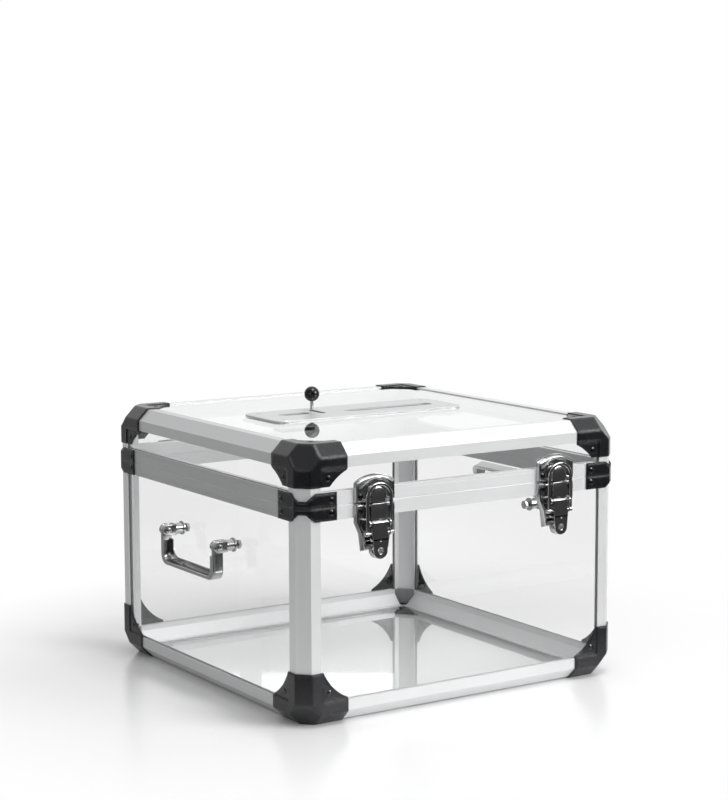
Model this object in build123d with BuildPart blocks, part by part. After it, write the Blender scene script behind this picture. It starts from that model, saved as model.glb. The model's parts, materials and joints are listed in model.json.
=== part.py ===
from build123d import *
import math
import os

# Clear ballot box: an aluminium edge frame glazed with clear sheet, a hinged lid with two
# draw latches, black corner guards, two drop handles and a voting lever with a counter.
# Millimetres. X runs along the front, Y towards the back, Z up. The sub-parts are drawn round
# the middle of the frame, and saved so that the origin is on the floor below the middle of the
# whole outline, latches and hinges included.

os.makedirs("parts", exist_ok=True)

# Frame
frame_width = 426.0
frame_depth = 426.0
split_height = 235.6
lid_height = 64.4
seam_gap = 0.2
seat_gap = 0.1
overrun = 2.0
half_turn = 180
quarter_turn = 90

# Clear panels
panel_thickness = 4.0
panel_edge_play = 0.3
panel_clip = 20.0

# Edge extrusion, measured from the outer corner line of the box
edge_chamfer = 12.4
edge_leg = 24.5
bevel_reach = 18.0
outer_lip = 1.0
inner_lip = 0.8
slot_depth = 10.0
chamber_wall = 1.6
slot_width = panel_thickness + 2 * seat_gap
edge_flange = outer_lip + slot_width + inner_lip

# Rims that meet at the seam
rim_band = 15.1
rim_depth = 11.0
rim_slot_depth = 5.2
rim_line_width = 0.8
rim_line_depth = 0.4
rim_line_inset = 3.2
seam_bevel = 0.5
tongue_inset = 7.6
tongue_width = 2.0
tongue_height = 2.4
tongue_play = 0.7
groove_depth = tongue_height + tongue_play

# Corner guards
guard_wall = 1.5
guard_reach = 57.5
guard_reach_lid = 43.5
guard_arm = 25.5
guard_tip = 1.5
guard_sag = 4.0
guard_round = 1.6
web_proud = 0.5
web_rivet_inset = 34.5
corner_sum = edge_leg + edge_chamfer - 3 * seat_gap

# Black angle pieces on the rims
angle_reach = 44.0
angle_wall = 1.5
angle_rivet_inset = 37.5
angle_rivet_drop = 6.8
notch_depth = 8.0
notch_inner_half = 4.4
notch_outer_half = 13.0

# Rivets
rivet_head_radius = 3.4
rivet_crown_radius = 1.7
rivet_head_height = 0.9
rivet_shank_radius = 1.5
rivet_hole_play = 0.1
rivet_grip = 7.0
rim_hole_depth = 7.5

# Draw latches
latch_inset = 91.0
latch_offset = frame_width / 2 - latch_inset
latch_width = 51.0
latch_wall = 1.2
latch_height = 5.6
latch_draft = 24
latch_side_top = 22.6
latch_arch_top = 30.6
latch_shoulder = 20.6
latch_waist = 33.0
latch_waist_width = 40.0
latch_foot = 52.0
latch_foot_width = 35.0
latch_rivet_offset = 20.0
latch_rivet_drop = 7.5
boss_width = 24.0
boss_height = 3.0
boss_foot = 17.6
boss_arch_top = 17.4
lever_pivot_drop = 21.4
lever_pivot_out = 10.8
lever_barrel_radius = 2.8
lever_pin_radius = 1.5
lever_wall = 1.8
lever_bend_drop = 32.0
lever_heel_drop = 40.0
lever_flange_wall = 1.4
lever_flange_drop = 36.0
lever_hole_radius = 1.3
lever_hole_drop = 39.5
ear_wall = 1.6
ear_radius = 3.6
side_play = 0.3
eye_drop = 51.2
eye_radius = 9.5
eye_hole_radius = 3.4
tab_hole_radius = 3.9
loop_width = 36.0
loop_strap = 3.8
loop_thickness = 2.6
loop_top = 22.4
loop_rise = 9.0
loop_pivot_drop = 32.4
loop_eye_radius = 3.0
loop_pin_radius = 1.6
running_gap = 0.05

# Drop handles
handle_drop = 60.6
handle_spacing = 120.0
handle_shift = 9.0
post_radius = 6.5
post_length = 20.0
post_flange_radius = 8.0
post_flange_height = 2.0
post_stud_radius = 2.5
post_nut_radius = 5.5
post_nut_height = 3.0
bail_width = 12.5
bail_eye_radius = 6.4
bail_eye_width = 4.0
bail_leg_depth = 8.0
bail_grip_depth = 5.0
bail_flange_start = 10.5
bail_lean = 22.5
lap_shoulder = 9.6
lap_gap = 0.2
bail_wall = 1.5
bail_drop = 38.5
bail_corner_radius = 11.0
bail_pin_radius = 2.5
bail_pin_head_radius = 4.3
bail_pin_head = 1.4

# Hinges
hinge_inset = 69.0
hinge_offset = frame_width / 2 - hinge_inset
hinge_width = 34.0
hinge_leaf_height = 17.0
hinge_leaf_wall = 1.5
hinge_knuckle_radius = 4.0
hinge_pin_radius = 2.0
hinge_knuckle_gap = 0.3
hinge_corner_radius = 7.0
hinge_screw_offset = 8.5
hinge_screw_drop = 7.5

# Lever plate on the lid
plate_width = 260.0
plate_depth = 86.0
plate_thickness = 2.0
plate_corner_radius = 14.0
plate_edge_bevel = 0.5
screw_slot_width = 1.1
countersink_angle = 90
plate_shift = 13.0
plate_screw_inset = 14.0
screw_head_radius = 3.8
screw_shank_radius = 2.0
nut_radius = 4.0
nut_height = 3.0
lever_x = -47.0
lever_y = 33.0
lever_stroke = 24.0
lever_slot_width = 8.0
lever_rod_radius = 2.0
knob_radius = 9.0
knob_height = 19.8
mail_slot_x = 45.5
mail_slot_y = 9.0
mail_slot_length = 123.0
mail_slot_height = 15.5
under_slot_margin = 1.2

# Shutter below the lid sheet
shutter_thickness = 1.2
shutter_gap = 0.4
shutter_left = -56.6
shutter_right = 111.6
shutter_cover = 3.5
shutter_tab_right = -37.0

# Tray below the lid sheet
tray_margin = 2.0
tray_wall = 1.2
tray_rib = 2.0
shutter_rib_left = 1.2
rod_shoulder_radius = 3.4
rod_shoulder_height = 3.6

# Counter
counter_x = -81.0
counter_y = 17.0
counter_window_width = 40.0
counter_window_height = 15.0
counter_case_width = 43.0
counter_case_depth = 22.0
counter_case_height = 17.0
counter_wall = 1.5
counter_flange = 4.0
wheel_radius = 7.0
wheel_width = 6.4
wheel_pitch = 7.2
wheel_count = 5
axle_radius = 1.5
cutout_margin = 1.0

# Heights worked out from the sizes above
frame_bottom = guard_wall
seam = frame_bottom + split_height
frame_top = seam + lid_height
base_top = seam - seam_gap / 2
lid_bottom = seam + seam_gap / 2
base_rim_bottom = base_top - rim_band
lid_rim_top = lid_bottom + rim_band
front_y = -frame_depth / 2
back_y = frame_depth / 2
sheet_top = frame_top - outer_lip - seat_gap
sheet_bottom = sheet_top - panel_thickness
plate_bottom = sheet_top + seat_gap
plate_top = plate_bottom + plate_thickness
shutter_top = sheet_bottom - shutter_gap
shutter_bottom = shutter_top - shutter_thickness
tray_bottom = shutter_bottom - shutter_gap - tray_wall
rod_top = plate_top + knob_height - seat_gap
wheel_height = plate_bottom - wheel_radius - side_play
latch_face = seat_gap + latch_height
boss_face = latch_face + boss_height
loop_back = boss_face + side_play
pivot_height = seam - handle_drop
panel_face = outer_lip + seat_gap

# The latches reach further out than the hinges, so the outline's middle lies before the frame's
front_reach = lever_pivot_out + ear_radius
back_reach = 2 * hinge_knuckle_radius + side_play + seat_gap
middle_shift = (front_reach - back_reach) / 2

corners = {"front_left": (-1, -1), "front_right": (1, -1), "back_left": (-1, 1), "back_right": (1, 1)}
sides = {"front": (0, -1), "back": (0, 1), "left": (-1, 0), "right": (1, 0)}
hands = {"left": -1, "right": 1}
upright = (Align.CENTER, Align.CENTER, Align.MIN)
hanging = (Align.CENTER, Align.CENTER, Align.MAX)
handle_spots = (handle_shift - handle_spacing / 2, handle_shift + handle_spacing / 2)


def save(piece, name):
    """Move one finished sub-part to the outline's middle, label it and write its file."""
    shift = Location((0, middle_shift, 0))
    placed = group(child.moved(shift) for child in piece.children) if piece.children else piece.moved(shift)
    placed.label = name
    export_step(placed, f"parts/{name}.step")


def group(pieces):
    """Keep several separate solids together as one sub-part."""
    return Compound(children=list(pieces))


def half_out(side):
    """Distance from the box's middle to the outer face on one side."""
    return frame_width / 2 if sides[side][0] else frame_depth / 2


def half_span(side):
    """Half of the box's length along one side."""
    return frame_depth / 2 if sides[side][0] else frame_width / 2


def face_plane(side, inset=0.0):
    """Plane on one side of the box: across the side, then up, facing outwards."""
    outward = Vector(*sides[side], 0)
    along = Vector(0, 0, 1).cross(outward)
    return Plane(origin=outward * (half_out(side) - inset), x_dir=along, z_dir=outward)


def spot_plane(side, across, height, out):
    """Plane at one spot of a side: across from its middle, up from the floor and out of its face."""
    plane = face_plane(side)
    origin = plane.from_local_coords(Vector(across, height, out))
    return Plane(origin=origin, x_dir=plane.x_dir, z_dir=plane.z_dir)


def section_plane(origin, inward_a, inward_b):
    """Plane across a bar, whose two sketch axes point into the box."""
    first = Vector(*inward_a)
    return Plane(origin=origin, x_dir=first, z_dir=first.cross(Vector(*inward_b)))


# Edge extrusion
def edge_bar(origin, inward_a, inward_b, length):
    """One bar of the edge extrusion, with its middle at the origin given."""
    slot_floor = edge_leg - slot_depth
    slot_middle = outer_lip + slot_width / 2
    slot_centre = edge_leg - slot_depth / 2
    chamber_far = slot_floor - chamber_wall
    chamber_outer = edge_chamfer + chamber_wall * math.sqrt(2)
    chamber_inner = edge_flange + bevel_reach - chamber_wall * math.sqrt(2)
    with BuildPart() as bar:
        with BuildSketch(section_plane(origin, inward_a, inward_b)):
            Polygon(
                (0, edge_chamfer), (0, edge_leg), (edge_flange, edge_leg), (edge_flange, bevel_reach),
                (bevel_reach, edge_flange), (edge_leg, edge_flange), (edge_leg, 0), (edge_chamfer, 0),
                align=None,
            )
            with Locations((slot_middle, slot_centre)):
                Rectangle(slot_width, slot_depth, mode=Mode.SUBTRACT)
            with Locations((slot_centre, slot_middle)):
                Rectangle(slot_depth, slot_width, mode=Mode.SUBTRACT)
            Polygon(
                (chamber_outer - chamber_far, chamber_far), (chamber_inner - chamber_far, chamber_far),
                (chamber_far, chamber_inner - chamber_far), (chamber_far, chamber_outer - chamber_far),
                align=None, mode=Mode.SUBTRACT,
            )
        extrude(amount=length / 2, both=True)
    return bar.part


def frame_rail(side, height, inward_z):
    """One horizontal rail of the bottom or top frame, cut square at both ends."""
    outward = Vector(*sides[side], 0)
    origin = outward * half_out(side) + Vector(0, 0, height)
    length = 2 * (half_span(side) - edge_leg)
    return edge_bar(origin, -outward, (0, 0, inward_z), length)


def corner_post(corner, low, high):
    """One upright, between two heights."""
    side_x, side_y = corners[corner]
    origin = (side_x * frame_width / 2, side_y * frame_depth / 2, (low + high) / 2)
    return edge_bar(origin, (-side_x, 0, 0), (0, -side_y, 0), high - low)


# Rims
def rim_hole_places(side, lid):
    """Places of the rivets that enter one rim, across the side and up."""
    direction = 1 if lid else -1
    ends = half_span(side) - angle_rivet_inset
    places = [(end, seam + direction * angle_rivet_drop) for end in (-ends, ends)]
    if side == "front":
        height = seam + direction * latch_rivet_drop
        for hand in hands.values():
            for offset in (-latch_rivet_offset, latch_rivet_offset):
                places.append((hand * latch_offset + offset, height))
    if side == "back":
        height = seam + direction * hinge_screw_drop
        for hand in hands.values():
            for offset in (-hinge_screw_offset, hinge_screw_offset):
                places.append((hand * hinge_offset + offset, height))
    return places


def rim_bar(side, lid):
    """One rim bar: panel slot on one edge, tongue or groove at the seam, mitred ends."""
    outward = Vector(*sides[side], 0)
    start = lid_rim_top if lid else base_rim_bottom
    seamward = -1 if lid else 1
    across = half_span(side)
    mitre = seat_gap / 2
    origin = outward * half_out(side) + Vector(0, 0, start)
    along = Vector(0, 0, 1).cross(outward)
    with BuildPart() as bar:
        with BuildSketch(section_plane(origin, -outward, (0, 0, seamward))):
            Polygon(
                (0, 0), (0, rim_band - seam_bevel), (seam_bevel, rim_band), (rim_depth, rim_band),
                (rim_depth, 0), align=None,
            )
            with Locations((outer_lip + slot_width / 2, rim_slot_depth / 2)):
                Rectangle(slot_width, rim_slot_depth, mode=Mode.SUBTRACT)
            with Locations((0, rim_line_inset)):
                Rectangle(2 * rim_line_depth, rim_line_width, mode=Mode.SUBTRACT)
            if lid:
                with Locations((tongue_inset, rim_band + tongue_height / 2)):
                    Rectangle(tongue_width, tongue_height, mode=Mode.ADD)
            else:
                with Locations((tongue_inset, rim_band - groove_depth / 2)):
                    Rectangle(tongue_width + 2 * tongue_play, groove_depth, mode=Mode.SUBTRACT)
        extrude(amount=across, both=True)
        with BuildSketch(Plane(origin=outward * half_out(side), x_dir=along, z_dir=(0, 0, 1))):
            Polygon(
                (-across + edge_chamfer, 0), (-across + edge_chamfer / 2 + mitre, edge_chamfer / 2 - mitre),
                (-across + rim_depth + mitre, rim_depth), (across - rim_depth - mitre, rim_depth),
                (across - edge_chamfer / 2 - mitre, edge_chamfer / 2 - mitre), (across - edge_chamfer, 0),
                align=None,
            )
        extrude(amount=frame_top, mode=Mode.INTERSECT)
        with Locations(face_plane(side)):
            with Locations(*rim_hole_places(side, lid)):
                Hole(rivet_shank_radius + rivet_hole_play, depth=rim_hole_depth)
    return bar.part


# Clear panels
def web_holes(half_width, half_height):
    """Cut the four rivet holes of the corner guards into a horizontal sheet."""
    spots = [(sign_x * half_width, sign_y * half_height) for sign_x in (-1, 1) for sign_y in (-1, 1)]
    with Locations(*spots):
        Circle(rivet_shank_radius + rivet_hole_play, mode=Mode.SUBTRACT)


def side_panel(side, lid):
    """One clear side sheet, with clipped corners and rivet holes at the guards."""
    half = half_span(side) - edge_leg + slot_depth - panel_edge_play
    edge = edge_leg - slot_depth + panel_edge_play
    if lid:
        guarded, free, toward = frame_top - edge, lid_rim_top - rim_slot_depth + panel_edge_play, -1
        rivet_height = frame_top - web_rivet_inset
    else:
        guarded, free, toward = frame_bottom + edge, base_rim_bottom + rim_slot_depth - panel_edge_play, 1
        rivet_height = frame_bottom + web_rivet_inset
    rivet_across = half_span(side) - web_rivet_inset
    with BuildPart() as panel:
        with BuildSketch(face_plane(side, panel_face + panel_thickness)):
            Polygon(
                (-half, free), (-half, guarded + toward * panel_clip), (-half + panel_clip, guarded),
                (half - panel_clip, guarded), (half, guarded + toward * panel_clip), (half, free),
                align=None,
            )
            with Locations((-rivet_across, rivet_height), (rivet_across, rivet_height)):
                Circle(rivet_shank_radius + rivet_hole_play, mode=Mode.SUBTRACT)
            if not lid and sides[side][0]:
                with Locations(*[(across, pivot_height) for across in handle_spots]):
                    Circle(post_stud_radius + rivet_hole_play, mode=Mode.SUBTRACT)
        extrude(amount=panel_thickness)
    return panel.part


def sheet_outline():
    """Sketch of the floor sheet and the top sheet, with clipped corners."""
    half_x = frame_width / 2 - edge_leg + slot_depth - panel_edge_play
    half_y = frame_depth / 2 - edge_leg + slot_depth - panel_edge_play
    with BuildSketch() as outline:
        Rectangle(2 * half_x, 2 * half_y)
        chamfer(outline.vertices(), panel_clip)
        web_holes(frame_width / 2 - web_rivet_inset, frame_depth / 2 - web_rivet_inset)
    return outline.sketch


def plate_openings(margin):
    """Cut the letter slot and the lever's slot into a horizontal sheet."""
    with Locations((mail_slot_x, mail_slot_y)):
        SlotOverall(mail_slot_length + 2 * margin, mail_slot_height + 2 * margin, mode=Mode.SUBTRACT)
    width = lever_slot_width + 2 * margin
    with Locations((lever_x, lever_y - lever_stroke / 2)):
        SlotOverall(lever_stroke + width, width, rotation=quarter_turn, mode=Mode.SUBTRACT)


def plate_screw_places():
    """Places of the four screws at the corners of the lever plate."""
    half_x = plate_width / 2 - plate_screw_inset
    half_y = plate_depth / 2 - plate_screw_inset
    return [(sign_x * half_x, plate_shift + sign_y * half_y) for sign_x in (-1, 1) for sign_y in (-1, 1)]


def counter_cutout(margin):
    """Cut the rectangle that the counter's case passes through."""
    with Locations((counter_x, counter_y)):
        Rectangle(counter_case_width + 2 * margin, counter_case_depth + 2 * margin, mode=Mode.SUBTRACT)


def floor_sheet():
    """Clear floor of the base."""
    with BuildPart() as sheet:
        with BuildSketch(Plane.XY.offset(frame_bottom + panel_face)):
            add(sheet_outline())
        extrude(amount=panel_thickness)
    return sheet.part


def top_sheet():
    """Clear top of the lid, with openings below those of the lever plate."""
    with BuildPart() as sheet:
        with BuildSketch(Plane.XY.offset(sheet_bottom)):
            add(sheet_outline())
            plate_openings(under_slot_margin)
            counter_cutout(cutout_margin)
            with Locations(*plate_screw_places()):
                Circle(screw_shank_radius + rivet_hole_play, mode=Mode.SUBTRACT)
        extrude(amount=panel_thickness)
    return sheet.part


# Corner guards, drawn at the corner where the three axes start
def corner_hull(outset, reach, reach_up):
    """Block at the corner, with its three edges chamfered and its tip cut off."""
    with BuildPart() as hull:
        with BuildSketch(Plane.XY.offset(-outset)):
            with Locations((-outset, -outset)):
                Rectangle(reach + outset, reach + outset, align=(Align.MIN, Align.MIN))
        extrude(amount=reach_up + outset)
        chamfer_distance = (edge_chamfer - math.sqrt(2) * outset) / math.sqrt(2)
        tip_distance = (corner_sum - math.sqrt(3) * outset) / math.sqrt(3)
        for direction in (Vector(1, 1, 0), Vector(0, 1, 1), Vector(1, 0, 1)):
            normal = direction.normalized()
            split(bisect_by=Plane(origin=normal * chamfer_distance, z_dir=normal), keep=Keep.TOP)
        tip = Vector(1, 1, 1).normalized()
        split(bisect_by=Plane(origin=tip * tip_distance, z_dir=tip), keep=Keep.TOP)
    return hull.part


def corner_faces():
    """The three faces that meet at the corner, each with its normal pointing into the box."""
    return (
        Plane(origin=(0, 0, 0), x_dir=(1, 0, 0), z_dir=(0, 0, 1)),
        Plane(origin=(0, 0, 0), x_dir=(0, 1, 0), z_dir=(1, 0, 0)),
        Plane(origin=(0, 0, 0), x_dir=(0, 0, 1), z_dir=(0, 1, 0)),
    )


def guard_shape(reach_up):
    """Three-armed corner guard with a riveted web between each two arms."""
    far = guard_reach + overrun
    tip = guard_arm + guard_tip
    middle = (guard_reach + tip) / 2 - guard_sag / math.sqrt(2)
    inset = edge_leg + seat_gap
    with BuildPart() as guard:
        add(corner_hull(guard_wall, guard_reach, guard_reach))
        soft = [
            edge for edge in guard.edges()
            if max(edge.center().X, edge.center().Y, edge.center().Z) < guard_reach - guard_wall
        ]
        fillet(soft, guard_round)
        add(corner_hull(seat_gap, far, far), mode=Mode.SUBTRACT)
        for face in corner_faces():
            with BuildSketch(face.offset(-guard_wall - overrun)):
                with Locations((guard_arm, guard_arm)):
                    Rectangle(far - guard_arm, far - guard_arm, align=(Align.MIN, Align.MIN))
            extrude(amount=guard_wall + 2 * overrun, mode=Mode.SUBTRACT)
        for face in corner_faces():
            with BuildSketch(face.offset(-web_proud)):
                with BuildLine():
                    ThreePointArc((guard_reach, tip), (middle, middle), (tip, guard_reach))
                    Polyline(
                        (tip, guard_reach), (inset, guard_reach), (inset, inset), (guard_reach, inset),
                        (guard_reach, tip),
                    )
                make_face()
                with Locations((web_rivet_inset, web_rivet_inset)):
                    Circle(rivet_shank_radius + rivet_hole_play, mode=Mode.SUBTRACT)
            extrude(amount=web_proud + outer_lip)
        split(bisect_by=Plane.XY.offset(reach_up), keep=Keep.BOTTOM)
    return guard.part


def corner_frame(corner, top):
    """Plane at a corner of the frame, with all three directions pointing into the box."""
    side_x, side_y = corners[corner]
    upward = -1 if top else 1
    first = (-side_x, 0, 0) if side_x * side_y * upward > 0 else (0, -side_y, 0)
    origin = (side_x * frame_width / 2, side_y * frame_depth / 2, frame_top if top else frame_bottom)
    return Plane(origin=origin, x_dir=first, z_dir=(0, 0, upward))


def corner_guard(shape, corner, top):
    """One corner guard put on its corner."""
    with BuildPart() as guard:
        with Locations(corner_frame(corner, top)):
            add(shape)
    return guard.part


def corner_blocks(top):
    """Four blocks that close the frame's corners below the guards."""
    reach = edge_leg - seat_gap
    with BuildPart() as block:
        add(corner_hull(0, reach, reach))
        inward = Vector(1, 1, 0).normalized()
        cut = Plane(origin=inward * (edge_flange + reach) / math.sqrt(2), z_dir=inward)
        split(bisect_by=cut, keep=Keep.BOTTOM)
    blocks = []
    for corner in corners:
        with BuildPart() as placed:
            with Locations(corner_frame(corner, top)):
                add(block.part)
        blocks.append(placed.part)
    return group(blocks)


def rim_angle(corner, lid):
    """One black angle piece round a rim's corner, notched on the edge away from the seam."""
    side_x, side_y = corners[corner]
    seamward = -1 if lid else 1
    start = lid_rim_top if lid else base_rim_bottom
    first = (-side_x, 0, 0) if side_x * side_y * seamward > 0 else (0, -side_y, 0)
    origin = (side_x * frame_width / 2, side_y * frame_depth / 2, start)
    place = Plane(origin=origin, x_dir=first, z_dir=(0, 0, seamward))
    outer_leg = edge_chamfer - math.sqrt(2) * angle_wall + angle_wall
    inner_leg = edge_chamfer - math.sqrt(2) * seat_gap + seat_gap
    rivet_height = rim_band + seam_gap / 2 - angle_rivet_drop
    near = (Align.MIN, Align.MIN)
    with BuildPart() as angle:
        with BuildSketch():
            with Locations((-angle_wall, -angle_wall)):
                Rectangle(angle_reach + angle_wall, angle_reach + angle_wall, align=near)
            with Locations((-seat_gap, -seat_gap)):
                Rectangle(angle_reach + overrun, angle_reach + overrun, align=near, mode=Mode.SUBTRACT)
            Polygon(
                (-angle_wall, outer_leg - angle_wall), (-angle_wall, outer_leg), (outer_leg, -angle_wall),
                (outer_leg - angle_wall, -angle_wall), (-angle_wall, -angle_wall),
                align=None, mode=Mode.SUBTRACT,
            )
            Polygon(
                (-angle_wall, outer_leg - angle_wall), (outer_leg - angle_wall, -angle_wall),
                (inner_leg - seat_gap, -seat_gap), (-seat_gap, inner_leg - seat_gap),
                align=None,
            )
        extrude(amount=rim_band)
        corner_line = Vector(1, 1, 0).normalized()
        with BuildSketch(Plane(origin=(0, 0, 0), x_dir=(1, -1, 0), z_dir=corner_line)):
            Polygon(
                (-notch_outer_half, overrun), (-notch_outer_half, 0), (-notch_inner_half, -notch_depth),
                (notch_inner_half, -notch_depth), (notch_outer_half, 0), (notch_outer_half, overrun),
                align=None,
            )
        extrude(amount=edge_leg, both=True, mode=Mode.SUBTRACT)
        for along, outward, direction in (((1, 0, 0), (0, -1, 0), 1), ((0, -1, 0), (-1, 0, 0), -1)):
            with Locations(Plane(origin=(0, 0, 0), x_dir=along, z_dir=outward)):
                with Locations((direction * angle_rivet_inset, rivet_height)):
                    Cylinder(rivet_shank_radius + rivet_hole_play, edge_chamfer, mode=Mode.SUBTRACT)
    with BuildPart() as placed:
        with Locations(place):
            add(angle.part)
    return placed.part


# Rivets
def rivet(seat):
    """One rivet, its head on the seat plane and its shank behind it."""
    with BuildPart() as pin:
        with Locations(seat):
            Cone(rivet_head_radius, rivet_crown_radius, rivet_head_height, align=upright)
            Cylinder(rivet_shank_radius, rivet_grip, align=hanging)
    return pin.part


def web_rivets(top):
    """Rivets through the webs of the four upper or lower corner guards."""
    rivets = []
    for corner in corners:
        frame = corner_frame(corner, top)
        for face in corner_faces():
            spot = face.offset(-web_proud).from_local_coords(Vector(web_rivet_inset, web_rivet_inset, 0))
            along = frame.from_local_coords(face.x_dir) - frame.origin
            outward = frame.origin - frame.from_local_coords(face.z_dir)
            rivets.append(rivet(Plane(origin=frame.from_local_coords(spot), x_dir=along, z_dir=outward)))
    return rivets


def rim_rivets(lid):
    """Rivets of the angle pieces, the latch shells and the hinge leaves on one rim."""
    rivets = []
    for side in sides:
        for across, height in rim_hole_places(side, lid):
            proud = angle_wall
            if side == "front" and abs(across) < half_span(side) - edge_leg - angle_wall - latch_waist:
                proud = latch_face
            if side == "back" and abs(across) < half_span(side) - edge_leg - angle_wall - latch_waist:
                proud = seat_gap + hinge_leaf_wall
            rivets.append(rivet(spot_plane(side, across, height, proud)))
    return rivets


# Draw latches
def latch_plane(hand, out):
    """Plane in front of the box, centred on one latch at the seam."""
    return Plane(origin=(hands[hand] * latch_offset, front_y - out, seam), x_dir=(1, 0, 0), z_dir=(0, -1, 0))


def latch_section(hand):
    """Plane across one latch: outwards, then up."""
    return Plane(origin=(hands[hand] * latch_offset, front_y, seam), x_dir=(0, -1, 0), z_dir=(-1, 0, 0))


def latch_holes(direction):
    """Cut the two rivet holes of a latch shell."""
    with Locations(*[(side * latch_rivet_offset, direction * latch_rivet_drop) for side in (-1, 1)]):
        Circle(rivet_shank_radius + rivet_hole_play)


def latch_keeper(hand):
    """Upper latch shell on the lid, with an arched boss."""
    half = latch_width / 2
    boss = boss_width / 2
    boss_side_top = boss_arch_top - boss
    with BuildPart() as keeper:
        for shrink, mode in ((0, Mode.ADD), (latch_wall, Mode.SUBTRACT)):
            with BuildSketch(latch_plane(hand, seat_gap)):
                with BuildLine():
                    Polyline(
                        (-half, latch_side_top), (-half, side_play), (half, side_play),
                        (half, latch_side_top),
                    )
                    ThreePointArc((half, latch_side_top), (0, latch_arch_top), (-half, latch_side_top))
                make_face()
                if shrink:
                    offset(amount=-shrink)
            extrude(amount=latch_height - shrink, taper=latch_draft, mode=mode)
            with BuildSketch(latch_plane(hand, seat_gap)):
                with BuildLine():
                    Polyline(
                        (-boss, boss_side_top), (-boss, side_play), (boss, side_play), (boss, boss_side_top),
                    )
                    ThreePointArc((boss, boss_side_top), (0, boss_arch_top), (-boss, boss_side_top))
                make_face()
                if shrink:
                    offset(amount=-shrink)
            extrude(amount=boss_face - seat_gap - shrink, mode=mode)
        with BuildSketch(latch_plane(hand, 0)):
            latch_holes(1)
        extrude(amount=boss_face, mode=Mode.SUBTRACT)
    return keeper.part


def latch_base(hand):
    """Lower latch shell, with a boss, two ears for the lever and a padlock tab."""
    half = latch_width / 2
    with BuildPart() as shell:
        for shrink, mode in ((0, Mode.ADD), (latch_wall, Mode.SUBTRACT)):
            with BuildSketch(latch_plane(hand, seat_gap)):
                Polygon(
                    (-half, -side_play), (-half, -latch_shoulder), (-latch_waist_width / 2, -latch_waist),
                    (-latch_foot_width / 2, -latch_foot), (latch_foot_width / 2, -latch_foot),
                    (latch_waist_width / 2, -latch_waist), (half, -latch_shoulder), (half, -side_play),
                    align=None,
                )
                if shrink:
                    offset(amount=-shrink, kind=Kind.INTERSECTION)
            extrude(amount=latch_height - shrink, taper=latch_draft, mode=mode)
            with BuildSketch(latch_plane(hand, seat_gap)):
                with Locations((0, -(boss_foot + side_play) / 2)):
                    Rectangle(boss_width - 2 * shrink, boss_foot - side_play - 2 * shrink)
            extrude(amount=boss_face - seat_gap - shrink, mode=mode)
        with BuildSketch(latch_plane(hand, latch_face - latch_wall)):
            with Locations((0, -eye_drop)):
                Circle(eye_radius)
        extrude(amount=latch_wall)
        ear_out = boss_width / 2 + side_play + ear_wall / 2
        for side in (-1, 1):
            with BuildSketch(latch_section(hand).offset(-side * ear_out)):
                with Locations((lever_pivot_out, -lever_pivot_drop)):
                    Circle(ear_radius)
                with Locations(((latch_face - latch_wall + lever_pivot_out) / 2, -lever_pivot_drop)):
                    Rectangle(lever_pivot_out - latch_face + latch_wall, 2 * ear_radius)
                with Locations((lever_pivot_out, -lever_pivot_drop)):
                    Circle(lever_pin_radius + running_gap, mode=Mode.SUBTRACT)
            extrude(amount=ear_wall / 2, both=True)
        with BuildSketch(latch_plane(hand, 0)):
            latch_holes(-1)
            with Locations((0, -eye_drop)):
                Circle(tab_hole_radius)
        extrude(amount=boss_face, mode=Mode.SUBTRACT)
    return shell.part


def latch_lever(hand):
    """Cranked lever that swings out from the bottom, with a padlock eye and two studs for the loop."""
    half = boss_width / 2
    front = lever_pivot_out + lever_barrel_radius
    heel = latch_face + side_play
    stud_end = loop_width / 2 + side_play
    crank = loop_back + loop_thickness / 2
    strut = crank - loop_eye_radius
    barrel_back = lever_pivot_out - lever_barrel_radius
    foot = -eye_drop - eye_radius
    with BuildPart() as lever:
        with BuildSketch(latch_section(hand)):
            Polygon(
                (front, -lever_pivot_drop), (front, -lever_bend_drop), (heel + lever_wall, -lever_heel_drop),
                (heel + lever_wall, foot), (heel, foot), (heel, -lever_heel_drop),
                (front - lever_wall, -lever_bend_drop), (front - lever_wall, -lever_pivot_drop),
                align=None,
            )
            with Locations((lever_pivot_out, -lever_pivot_drop)):
                Circle(lever_barrel_radius)
        extrude(amount=half, both=True)
        for side in (-1, 1):
            with BuildSketch(latch_section(hand).offset(-side * (half - lever_flange_wall / 2))):
                Polygon(
                    (barrel_back, -lever_pivot_drop), (strut, -loop_pivot_drop),
                    (strut, -lever_flange_drop), (heel + lever_wall, -lever_heel_drop),
                    (front, -lever_bend_drop), (front, -lever_pivot_drop),
                    align=None,
                )
            extrude(amount=lever_flange_wall / 2, both=True)
            with BuildSketch(latch_section(hand).offset(-side * (half - lever_flange_wall))):
                with Locations((crank, -loop_pivot_drop)):
                    Circle(loop_pin_radius)
            extrude(amount=-side * (stud_end - half + lever_flange_wall))
        with BuildSketch(latch_plane(hand, 0)):
            with Locations((0, -loop_pivot_drop / 2)):
                Rectangle(2 * stud_end, loop_pivot_drop + 2 * loop_pin_radius)
            Polygon(
                (-half, -loop_pivot_drop), (-half, -lever_heel_drop), (-eye_radius, -eye_drop),
                (eye_radius, -eye_drop), (half, -lever_heel_drop), (half, -loop_pivot_drop),
                align=None,
            )
            with Locations((0, -eye_drop)):
                Circle(eye_radius)
                Circle(eye_hole_radius, mode=Mode.SUBTRACT)
            with Locations((0, -lever_hole_drop)):
                Circle(lever_hole_radius, mode=Mode.SUBTRACT)
        extrude(amount=front, mode=Mode.INTERSECT)
        with BuildSketch(latch_section(hand)):
            with Locations((lever_pivot_out, -lever_pivot_drop)):
                Circle(lever_pin_radius + running_gap)
        extrude(amount=half, both=True, mode=Mode.SUBTRACT)
    return lever.part


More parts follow.
